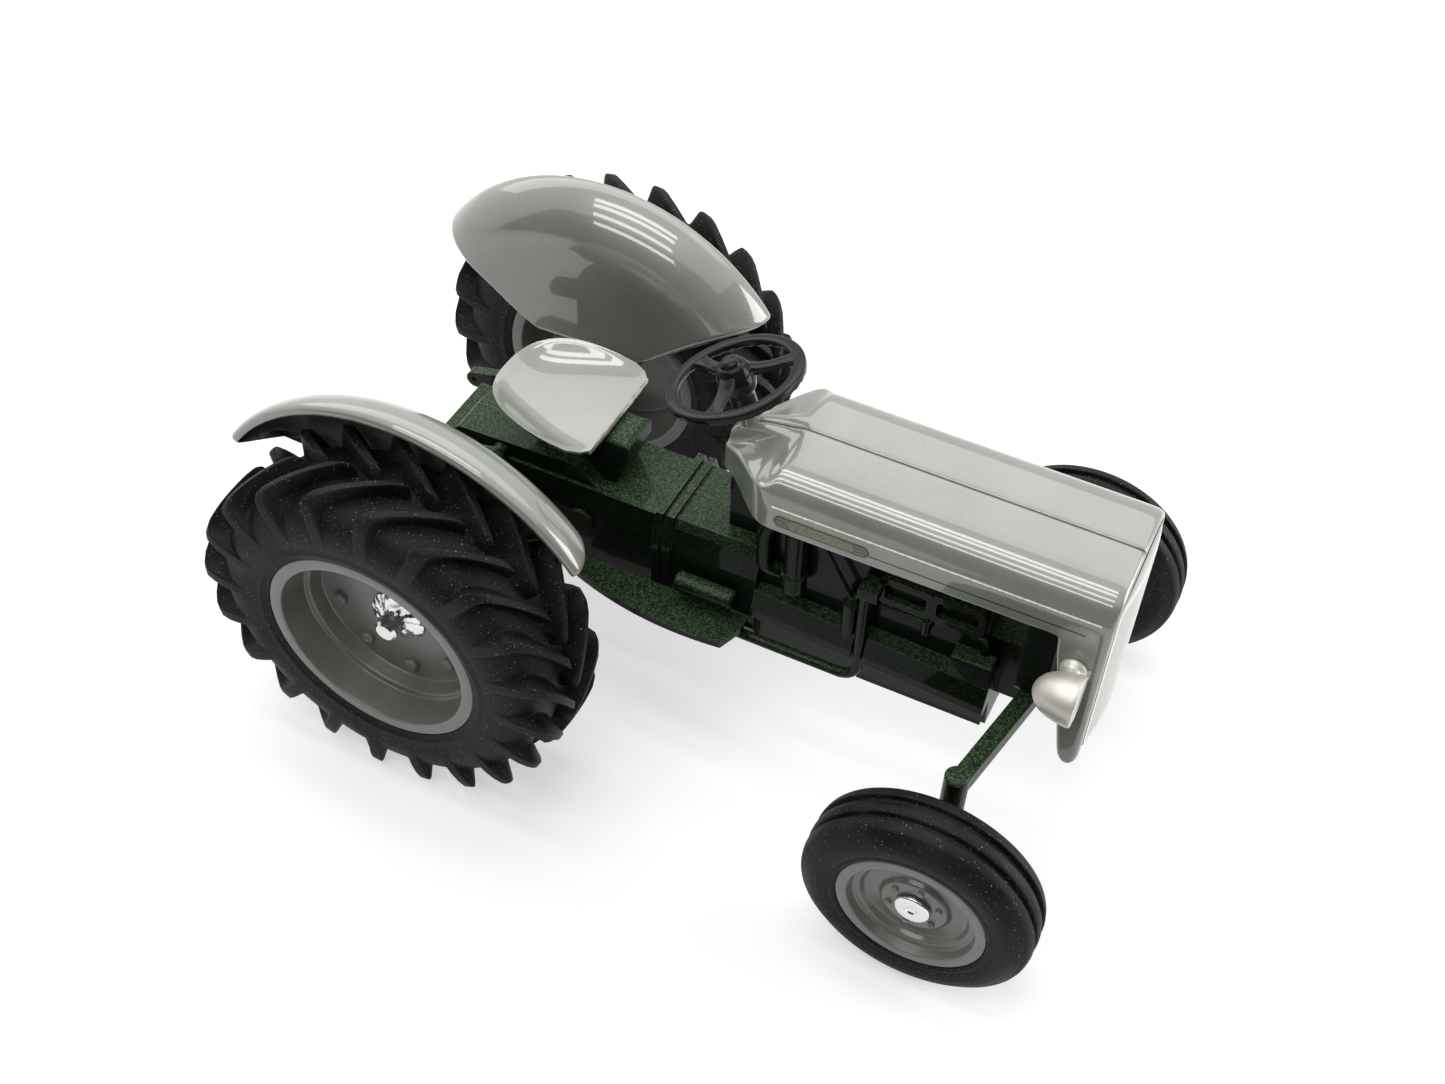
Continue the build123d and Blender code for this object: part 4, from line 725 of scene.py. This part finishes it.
def fender_section(wall):
    """The section from the lip to the panel, as (radius, across, how far along the panel)."""
    across_axis = fender_outer - fender_inner - crown_in - wall
    radius_axis = fender_reach - panel_radius - wall
    lip = fender_outer - 0.4 * wall
    line = [(fender_reach - lip_height, lip, 0.0), (fender_reach - lip_edge - 0.6 * wall, lip, 0.0)]
    for turn in crown_angles:
        angle = radians(turn)
        across = fender_outer - crown_in - across_axis * cos(angle)
        line.append((panel_radius + radius_axis * sin(angle), across, 0.0))
    return line + [(panel_radius, fender_inner + wall, share) for share in panel_steps]


def fender_shape(side):
    """Points and faces of one fender with its tab."""
    loops = []
    for row in range(fender_rows + 1):
        loop = []
        for wall, way in ((0.0, 1), (fender_wall, -1)):
            part = []
            for radius, across, along_panel in fender_section(wall):
                depth = max(0.0, (fender_outer - across) / (fender_outer - fender_inner))
                drawn_back = depth ** 2 + along_panel * panel_draw
                start, end = fender_front + front_draw * drawn_back, fender_rear - rear_draw * drawn_back
                angle = radians(start + (end - start) * row / fender_rows)
                distance = radius + (panel_edge(angle) - radius) * along_panel
                part.append(round_rear_axle(distance, angle, side * across))
            loop += part[::way]
        loops.append(loop)
    return join(skin(loops), fender_tab(side))


def fender_tab(side):
    """The flat tab that goes down from the panel to the axle housing."""
    corners = [(-tab_half, tab_top), (-tab_half, tab_bottom), (tab_half, tab_bottom), (tab_half, tab_top)]
    outline = rounded(corners, 1.0)
    return skin([[(rear_x + along, side * across, height) for along, height in outline]
                 for across in (fender_inner + 0.05, fender_inner + 0.3, fender_inner + fender_wall - 0.1)])


fender_faces = add_pair("fender_pressed", fender_shape, enamel, "fender", 180, rounds=2)
print("faces in the net of a fender:", fender_faces)

# %% [markdown]
# The steering wheel is moulded in black: a flat-topped rim with finger grips under it, three flat
# spokes that climb to the hub, and a tall hub with a domed cap. All of it is turned or swept round
# the tilted column, so every point is written as a radius, an angle and a height along that column.

# %% Steering wheel
column_tilt = radians(20.2)
wheel_centre = Vector((ahead(50.4), 0, 87.3))
column_up = Vector((-sin(column_tilt), 0, cos(column_tilt)))
wheel_across = Vector((0, 1, 0))
wheel_back = column_up.cross(wheel_across)
column_place = (wheel_centre, column_up, wheel_across, wheel_back)
rim_outer, rim_inner = 13.75, 11.35
grips, grip_depth = 36, 0.09
rim_section = rounded([(rim_outer, 0.75), (rim_outer, -0.95), (rim_inner + 0.5, -0.95), (rim_inner, -0.2),
                       (rim_inner, 0.75)], 0.45, 3)
spoke_stations = (
    # radius, half width, height of the top, thickness
    (1.2, 1.70, 2.4, 2.2), (3.0, 1.55, 2.1, 1.9), (4.8, 1.35, 1.3, 1.5), (7.0, 1.25, 0.85, 1.2),
    (9.6, 1.30, 0.7, 1.2), (11.0, 1.60, 0.65, 1.2), (12.2, 2.30, 0.6, 1.1),
)
hub_profile = rounded([(0.02, 4.5), (1.4, 4.4), (2.1, 3.95), (2.15, 3.3), (2.8, 3.2), (3.1, 2.6), (3.6, 1.2),
                       (3.9, -0.4), (3.5, -2.2), (2.6, -3.4), (2.55, -8.1), (0.02, -8.1)], 0.25, 2, False)


def wheel_rim():
    """The rim: its section turned round the column, with waves in its lower side."""
    turns = grips * 6
    points = []
    for turn in range(turns):
        angle = 2 * math.pi * turn / turns
        wave = grip_depth * cos(grips * angle)
        outward = wheel_across * cos(angle) + wheel_back * sin(angle)
        points += [wheel_centre + outward * radius + column_up * (rise + (wave if rise < -0.3 else 0))
                   for radius, rise in rim_section]
    return points, net_faces(turns, len(rim_section), True, True)


def spoke(turn_degrees):
    """A flat bar from the hub out into the rim."""
    angle = radians(turn_degrees)
    outward = wheel_across * cos(angle) + wheel_back * sin(angle)
    sideways = column_up.cross(outward)
    loops = []
    for radius, half, top, thick in spoke_stations:
        corners = rounded([(half, top), (-half, top), (-half, top - thick), (half, top - thick)], 0.3, 2)
        middle = wheel_centre + outward * radius
        loops.append([middle + sideways * across + column_up * rise for across, rise in corners])
    return skin(loops)


spokes = [spoke(turn_degrees) for turn_degrees in (65, 185, 305)]
wheel_shape = join(wheel_rim(), lathe(hub_profile, column_place, 48, False), *spokes)
wheel_faces = add_piece("steering_wheel_moulded", wheel_shape, plastic, ["steering_wheel"], 40)
print("steering wheel faces:", wheel_faces)

# %% [markdown]
# The hood and its cowl are one thin shell in two halves, which meet on the seam. Its forms flow into
# each other, so it is made as a coarse net that a subdivision surface rounds: close rows keep an edge
# crisp, and wide ones leave it soft. Each row is half a section, from the seam out and down to the
# lower edge, and the rows of the radiator shell go further down, to its narrow foot.

# %% Hood halves with the cowl and the radiator shell
hood_low, hood_high = box_mm("hood_half_left")
hood_side = hood_high.y
hood_wall = 1.3
hood_bottom = 68.3
hood_rear, hood_rear_top = 65.5, 81.0
hood_front, hood_front_top = 132.0, 80.2
shell_rear, shell_lean, shell_top, foot_round = 122.7, 0.175, 65.4, 1.7
seam_depth = 0.3
cowl_stations = (
    # ahead, top, half width of the spine, depth of the recess, half width at the eave, its height
    (50.7, 76.2, 2.5, 1.6, 4.6, 74.4),
    (51.4, 76.9, 2.7, 2.6, 5.2, 74.8),
    (53.5, 77.9, 2.8, 2.7, 6.4, 75.3),
    (56.0, 79.0, 2.9, 2.2, 8.9, 76.3),
    (58.5, 79.6, 3.0, 1.4, 11.6, 77.2),
    (60.4, 80.0, 3.1, 0.4, 13.6, 77.8),
    (62.0, 80.25, 3.6, 0.1, 15.0, 78.2),
    (63.6, 80.5, 4.3, 0.05, 15.7, 78.0),
)
hood_stations = (
    # ahead, how far the section is drawn in towards the front edge
    (65.3, 0), (66.3, 0), (70.0, 0), (80.0, 0), (90.0, 0), (100.0, 0), (110.0, 0), (117.5, 0), (120.8, 0),
    (shell_rear, 0), (124.6, 0), (127.2, 0), (129.6, 0), (130.9, 0.1), (131.7, 0.4), (hood_front, 1.0),
)
shell_heights = (66.4, 63.0, 58.0, 52.0, 46.0, 40.5, 37.2, 35.3, 34.3)


def hood_top(place):
    """Height of the hood's flat top, which falls a little towards the front."""
    return hood_rear_top + (hood_front_top - hood_rear_top) * (place - hood_rear) / (hood_front - hood_rear)


def cowl_line(top, spine, recess, eave, eave_height):
    """Half a section of the cowl, as (across, height) from the seam to the lower edge."""
    shelf = top - 0.35 - recess
    middle = spine + 0.5 + (eave - spine) * 0.45
    wall = eave_height - hood_bottom
    return [
        (0.0, top - seam_depth), (0.35, top), (spine - 0.4, top - 0.05),
        (spine + 0.1, top - 0.25 - recess * 0.4), (spine + 0.5, shelf),
        (middle, shelf + (eave_height - shelf) * 0.4), (eave - 0.9, eave_height + 0.1),
        (eave - 0.1, eave_height - 0.2), (eave, eave_height - 0.9), (eave, hood_bottom + wall * 0.55),
        (eave, hood_bottom + wall * 0.3), (eave, hood_bottom + 0.8), (eave, hood_bottom),
    ]


def hood_line(top):
    """Half a section of the hood: flat top, round shoulder, crease and plain side."""
    return [
        (0.0, top - seam_depth), (0.35, top), (2.7, top - 0.02), (5.5, top - 0.08), (8.5, top - 0.22),
        (10.9, top - 0.5), (13.2, top - 1.5), (14.75, top - 3.2), (15.5, 75.0),
        (hood_side, 74.1), (hood_side, 71.8), (hood_side, hood_bottom + 0.8), (hood_side, hood_bottom),
    ]


def drawn_in(line, distance):
    """A section moved inwards by this much, with its first point kept on the seam."""
    moved = []
    for index, (across, height) in enumerate(line):
        before, after = line[max(0, index - 1)], line[min(len(line) - 1, index + 1)]
        slope = Vector((after[0] - before[0], after[1] - before[1])).normalized()
        moved.append((max(0.0, across + slope.y * distance) if index else 0.0, height - slope.x * distance))
    return moved


def shell_point(place, across, height):
    """A point of the radiator shell's side, whose rear edge leans and whose foot is round."""
    share = (place - shell_rear) / (hood_front - shell_rear)
    low = max(0.0, shell_heights[6] - height) / (shell_heights[6] - shell_heights[-1])
    trim = foot_round * (1 - math.sqrt(max(0.0, 1 - low ** 2)))
    rear_edge = shell_rear + (shell_top - min(height, shell_top)) * shell_lean + trim
    return ahead(rear_edge + (hood_front - trim - rear_edge) * share), across, height


def hood_net(side):
    """Points and faces of one half of the hood, without the wall at the cowl's end."""
    rows = [(place, cowl_line(*sizes), 0.0) for place, *sizes in cowl_stations]
    rows += [(place, hood_line(hood_top(place)), inset) for place, inset in hood_stations]
    points, faces, chains = [], [], []
    for place, line, inset in rows:
        outer_line = drawn_in(line, inset) if inset else line
        chain_pair = []
        for section, wall in ((outer_line, 0.0), (drawn_in(line, hood_wall + 0.3 * inset), hood_wall)):
            chain = [(ahead(place), across, height) for across, height in section]
            if place >= shell_rear:
                level = hood_side - (inset if wall == 0.0 else wall)
                chain += [shell_point(place, level, height) for height in shell_heights]
            chain_pair.append(range(len(points), len(points) + len(chain)))
            points += [(x, side * across, height) for x, across, height in chain]
        chains.append(chain_pair)

    def wall_between(chain_pair, first):
        outer, inner = chain_pair
        for step in range(first, len(outer) - 1):
            faces.append((outer[step], outer[step + 1], inner[step + 1], inner[step]))

    for (outer, inner), (next_outer, next_inner) in zip(chains, chains[1:]):
        shared = min(len(outer), len(next_outer))
        for chain, following in ((outer, next_outer), (inner, next_inner)):
            for step in range(shared - 1):
                faces.append((chain[step], chain[step + 1], following[step + 1], following[step]))
        for step in (0, shared - 1):
            faces.append((outer[step], inner[step], next_inner[step], next_outer[step]))
    wall_between(chains[0], 0)
    wall_between(chains[-1], 0)
    wall_between(next(pair for pair in chains if len(pair[0]) > len(chains[0][0])), len(chains[0][0]) - 1)
    return points, faces


def hood_shape(side):
    """One half of the hood with the wall that closes the cowl behind the steering column."""
    section = drawn_in(cowl_line(*cowl_stations[1][1:]), 0.3) + [(0.0, hood_bottom)]
    wall = [[(ahead(place), side * across, height) for across, height in section]
            for place in (51.0, 51.3, 52.3)]
    return join(hood_net(side), skin(wall))


hood_faces = add_pair("hood_shell", hood_shape, enamel, "hood_half", 180, rounds=2)
print("faces in the net of a hood half:", hood_faces)

# %% [markdown]
# The hood's fine lines are thin strips that lie on the paint: the dark seam between the two halves,
# the pale gold crease along each side, which is worn paint and a painted highlight on the crease's edge,
# and the printed black line. The badge is a dark pill with a greenish gold field and three short bars at each
# end, and no lettering.

# %% Lines and badge on the hood
seam_drop = 0.16
seam_places = [(place, top - seam_drop) for place, top, *rest in cowl_stations[1:]]
seam_places += [(place, hood_top(place) - seam_drop) for place in (66.3, 131.6)]
seam_shapes = []
for (start, start_top), (end, end_top) in zip(seam_places, seam_places[1:]):
    steps = max(4, int((end - start) * 2))
    centres, halves = ragged((ahead(start), 0, start_top), (ahead(end), 0, end_top), steps, 0.11, 0.05, start)
    seam_shapes.append(strip(centres, (0, 1, 0), (0, 0, 1), halves))
print("faces of the seam:", add_piece("hood_seam", join(*seam_shapes), black_ink))


def crease(side):
    """The crease along one side of the hood, its pale line worn paint and a painted highlight."""
    start, end = ((ahead(place), side * (hood_side - 0.22), 74.43) for place in (65.8, 129.7))
    centres, halves = ragged(start, end, 150, 0.15, 0.06, 3.0 + side)
    return strip(centres, (0, side * 0.78, -0.62), (0, side * 0.62, 0.78), halves, 0.34, 0.26)


def side_line(side):
    """The printed line under the crease."""
    centres = [(ahead(place), side * hood_side, 70.95) for place in (85.2, 95, 105, 115, 127.4)]
    return strip(centres, (0, 0, 1), (0, side, 0), 0.16)


add_pair("hood_crease", crease, gold_wear_and_highlight)
add_pair("hood_line", side_line, black_ink)


def pill(start, end, height, half, side, proud, sink=0.03):
    """A plate with round ends on the hood's side, its centre line running between two places."""
    outline = []
    for end_place, turn in ((end, -90), (start, 90)):
        outline += [(end_place + half * cos(radians(turn + step * 15)),
                     height + half * sin(radians(turn + step * 15))) for step in range(13)]
    outer = [Vector((ahead(place), side * (hood_side + proud), tall)) for place, tall in outline]
    inner = [Vector((ahead(place), side * (hood_side - sink), tall)) for place, tall in outline]
    return skin([inner, outer])


badge_start, badge_end, badge_height, badge_half = 67.9, 84.4, 71.5, 1.45
field_margin, bar_gap, bar_half, bar_reach = 2.6, 0.75, 0.17, 1.3


def badge_field(side):
    """The gold field and the three bars at each end."""
    shapes = [pill(badge_start + field_margin, badge_end - field_margin, badge_height, badge_half - 0.35,
                   side, 0.10)]
    for bar in (-1, 0, 1):
        out = 0.75 - abs(bar) * 0.35
        height = badge_height + bar * bar_gap
        shapes.append(pill(badge_start - out, badge_start + bar_reach, height, bar_half, side, 0.10))
        shapes.append(pill(badge_end - bar_reach, badge_end + out, height, bar_half, side, 0.10))
    return join(*shapes)


badge_place = (badge_start, badge_end, badge_height, badge_half)
add_pair("badge_border", lambda side: pill(*badge_place, side, 0.06), black_ink)
print("faces of a badge's field:", add_pair("badge_field", badge_field, gold_ink))

# %% [markdown]
# Each lamp is a bullet, sprayed warm silver, with a rim round a domed lens. A short boss ties it to
# the radiator shell, and where the paint has chipped there, a bit of bare brass shows.

# %% Headlights
lamp_profile = [
    (0.02, -8.55), (0.7, -8.5), (1.7, -8.1), (2.9, -7.2), (3.8, -5.9), (4.4, -4.4), (4.8, -2.7),
    (4.98, -1.0), (5.0, -0.45), (4.85, -0.05), (4.45, 0.0), (4.35, -0.25)]
lens_profile = [(4.4, -0.28), (3.4, -0.12), (2.2, -0.04), (1.0, 0.0), (0.02, 0.0)]
boss_corners = [(0.02, 0.06), (2.7, 0.06), (2.5, 0.9), (1.9, 1.6), (1.8, 5.0), (0.02, 5.0)]
boss_profile = rounded(boss_corners, 0.4, 3, False)
lamp_ahead, lamp_across, lamp_height = 130.0, 22.4, 60.8
boss_ahead, boss_height = 126.9, 61.8


def lamp_place(side):
    """A lamp's centre and directions, for a lathe."""
    centre = Vector((ahead(lamp_ahead), side * lamp_across, lamp_height))
    return centre, Vector((1, 0, 0)), Vector((0, 1, 0)), Vector((0, 0, 1))


def lamp_shape(side):
    """The bullet and the boss that ties it to the shell."""
    foot = Vector((ahead(boss_ahead), side * hood_side, boss_height))
    boss_place = (foot, Vector((0, side, 0)), Vector((1, 0, 0)), Vector((0, 0, 1)))
    bullet = lathe(lamp_profile, lamp_place(side), 72, False)
    return join(bullet, lathe(boss_profile, boss_place, 40, False))


def chip(side):
    """The chipped paint beside the boss."""
    centres = [(ahead(129.7), side * (hood_side + 0.05), 62.6 - step * 0.5) for step in range(6)]
    return strip(centres, (1, 0, 0), (0, side, 0), [0.12, 0.4, 0.3, 0.42, 0.25, 0.3], 0.12)


print("faces of a lamp:", add_pair("headlight_bullet", lamp_shape, silver, "headlight"))
add_pair("headlight_lens", lambda side: lathe(lens_profile, lamp_place(side), 72, False), lens_glass)
add_pair("headlight_chip", chip, gold_wear_and_highlight)

# %% [markdown]
# The grille is a white panel that bows forward, with fine upright ribs pressed into it. Each column
# of the net is one closed loop, up the front and down the flat back, and a wave across the columns
# makes the ribs. A thin dark line runs round the panel, where it meets the shell.

# %% Grille panel with its ribs
grille_low, grille_high = box_mm("grille")
grille_half = (grille_high.y - grille_low.y) / 2
grille_middle = (grille_low.z + grille_high.z) / 2
grille_tall = (grille_high.z - grille_low.z) / 2
grille_corner = 2.9
grille_thick = 1.2
grille_bow = grille_high.x - grille_low.x - grille_thick
grille_ribs, rib_depth, rib_steps = 22, 0.16, 12


def grille_loop(across, columns):
    """One upright loop of the panel, at this place across it."""
    from_corner = max(0.0, abs(across) - (grille_half - grille_corner))
    tall = grille_tall - grille_corner + math.sqrt(max(0.0, grille_corner ** 2 - from_corner ** 2))
    bow = grille_bow * (1 - (across / grille_half) ** 2)
    inside = smooth_step((grille_half - 1.4 - abs(across)) / 0.4)
    rib = rib_depth * (cos(across / grille_half * grille_ribs * math.pi) - 1) * inside
    front = []
    for step in range(columns + 1):
        level = step / columns * 2 - 1
        from_end = tall * (1 - abs(level))
        fade = smooth_step((from_end - 1.2) / 0.5)
        edge = -0.25 * (1 - smooth_step(min(from_end, grille_half - abs(across)) / 0.35))
        x = grille_low.x + grille_thick + bow + rib * fade + edge
        front.append((x, across, grille_middle + tall * level))
    return front + [(grille_low.x, across, front[-1][2]), (grille_low.x, across, front[0][2])]


grille_columns = grille_ribs * rib_steps
grille_places = [grille_half * (step / grille_columns * 2 - 1) * 0.9995 for step in range(grille_columns + 1)]
grille_net = skin([grille_loop(across, 40) for across in grille_places])
print("grille faces:", add_piece("grille_panel", grille_net, white, ["grille"], 50))


def grille_outline(margin, steps=6):
    """Points round the panel this far outside its edge, as (across, height)."""
    corner = grille_corner + margin
    half, tall = grille_half + margin - corner, grille_tall + margin - corner
    outline = []
    for turn, (across, up) in enumerate(((1, 1), (-1, 1), (-1, -1), (1, -1))):
        for step in range(steps + 1):
            angle = radians(90 * turn + 90 * step / steps)
            outline.append((across * half + corner * cos(angle),
                            grille_middle + up * tall + corner * sin(angle)))
    return outline


border_front = hood_high.x + 0.01
border_back = border_front - 0.3
border_points = []
for outer, inner in zip(grille_outline(0.22), grille_outline(-0.12)):
    border_points += [(border_front, *outer), (border_front, *inner)]
    border_points += [(border_back, *inner), (border_back, *outer)]
border_faces = net_faces(len(border_points) // 4, 4, True, True)
print("border faces:", add_piece("grille_border", (border_points, border_faces), black_ink))

# %% [markdown]
# What the CAD model already has in its right shape is kept, and only gets its finish: the table
# says which. Smooth shading with sharp edges from 30 degrees up hides the facets of round faces.

# %% Finishes for the CAD pieces that stay
slot_finishes = (enamel, casting, rim_paint, rubber, steel, silver, white, plastic)
finish_of_slot = {finish.slot: finish for finish in slot_finishes}
for subpart in frame["record"]["subparts"]:
    node = frame["nodes"][subpart["node"]]
    node.data.materials.clear()
    node.data.materials.append(finish_of_slot[subpart["material_slot"]].owner)
    node.data.polygons.foreach_set("use_smooth", [True] * len(node.data.polygons))
    node.data.set_sharp_from_angle(angle=radians(30))
print(len(frame["nodes"]), "CAD nodes have a finish")

# %% [markdown]
# The photograph has a white ground with soft shadows under the model, and its light comes from
# above: tubes on the ceiling give the bright lines along the hood, and a wide bright area beyond the
# model gives the sheen on every face that looks up. Towards the camera the room is dark, so faces
# that look that way stay dark. Two dark cards, which the camera doesn't see, stand in for that room.

# %% Floor and light
def stage_plate(name, corners, finish):
    """A flat plate that belongs to the studio and not to the model, with corners in metres."""
    plate_mesh = bpy.data.meshes.new(name)
    plate_mesh.from_pydata(corners, [], [(0, 1, 2, 3)])
    plate_mesh.materials.append(finish.owner)
    plate = bpy.data.objects.new(name, plate_mesh)
    bpy.context.scene.collection.objects.link(plate)
    return plate


def seen_directly(finish):
    """1 for rays from the camera and for mirrored or refracted ones, and 0 for all others."""
    seen = 0
    for ray in ("Is Camera Ray", "Is Glossy Ray", "Is Transmission Ray"):
        seen = finish.node("ShaderNodeLightPath", output=ray) + seen
    return finish.node("ShaderNodeClamp", None, {"Value": seen})


floor_half, floor_glow = 3.0, 0.54
floor_paint = Finish("floor_white", roughness=0.9, specular_ior_level=0.1, emission_strength=1.0)
floor_paint.set("Base Color", (0.60, 0.60, 0.60))
floor_paint.set("Emission Color", floor_paint.mix(seen_directly(floor_paint), (0, 0, 0), (floor_glow,) * 3))
stage_plate("floor", [(-floor_half, -floor_half, 0), (floor_half, -floor_half, 0),
                      (floor_half, floor_half, 0), (-floor_half, floor_half, 0)], floor_paint)

card_black = Finish("card_black", roughness=0.9, base_color=(0.02, 0.02, 0.02))
card_places = (
    # name, one end and the other of its foot in metres, height
    ("card_near", (-1.1, -0.75), (1.0, -0.75), 1.1),
    ("card_front", (1.0, -0.75), (1.0, 0.5), 0.9),
)
for card_name, foot_start, foot_end, card_tall in card_places:
    corners = [(*foot_start, 0), (*foot_end, 0), (*foot_end, card_tall), (*foot_start, card_tall)]
    stage_plate(card_name, corners, card_black).visible_camera = False

room_level = 0.25
room = Finish("room", world=True, color=(1.0, 1.0, 0.97))
room.set("Strength", room_level + seen_directly(room) * (1 - room_level))
bpy.context.scene.world = room.owner

tube_places = ((-60, 34, 590), (-60, -69, 590), (-60, -236, 560), (-60, -390, 480))
tube_sizes = ((20, 0, 60), 0.42, 0.062, 0.56)
lamp_kinds = [
    # name, place in mm, point aimed at, length and width in metres, watts
    *((f"tube_{number}", place, *tube_sizes) for number, place in enumerate(tube_places, 1)),
    ("front_fill", (640, 260, 220), (80, 0, 60), 0.40, 0.40, 3.4),
    ("far_side", (-280, 620, 760), (0, 0, 40), 2.40, 0.60, 7.6),
]
for name, place, aim, length, width, watts in lamp_kinds:
    lamp_data = bpy.data.lights.new(name, "AREA")
    lamp_data.shape = "RECTANGLE"
    lamp_data.size = length
    lamp_data.size_y = width
    lamp_data.energy = watts
    lamp = bpy.data.objects.new(name, lamp_data)
    bpy.context.scene.collection.objects.link(lamp)
    back = (Vector(place) - Vector(aim)).normalized()
    long_way = (Vector((1, 0, 0)) - back * back.x).normalized()
    turn = Matrix((long_way, back.cross(long_way), back)).transposed()
    lamp.matrix_world = Matrix.Translation(Vector(place) * MM) @ turn.to_4x4()
bpy.context.scene.view_settings.view_transform = "Standard"
print(len(lamp_kinds), "lamps")
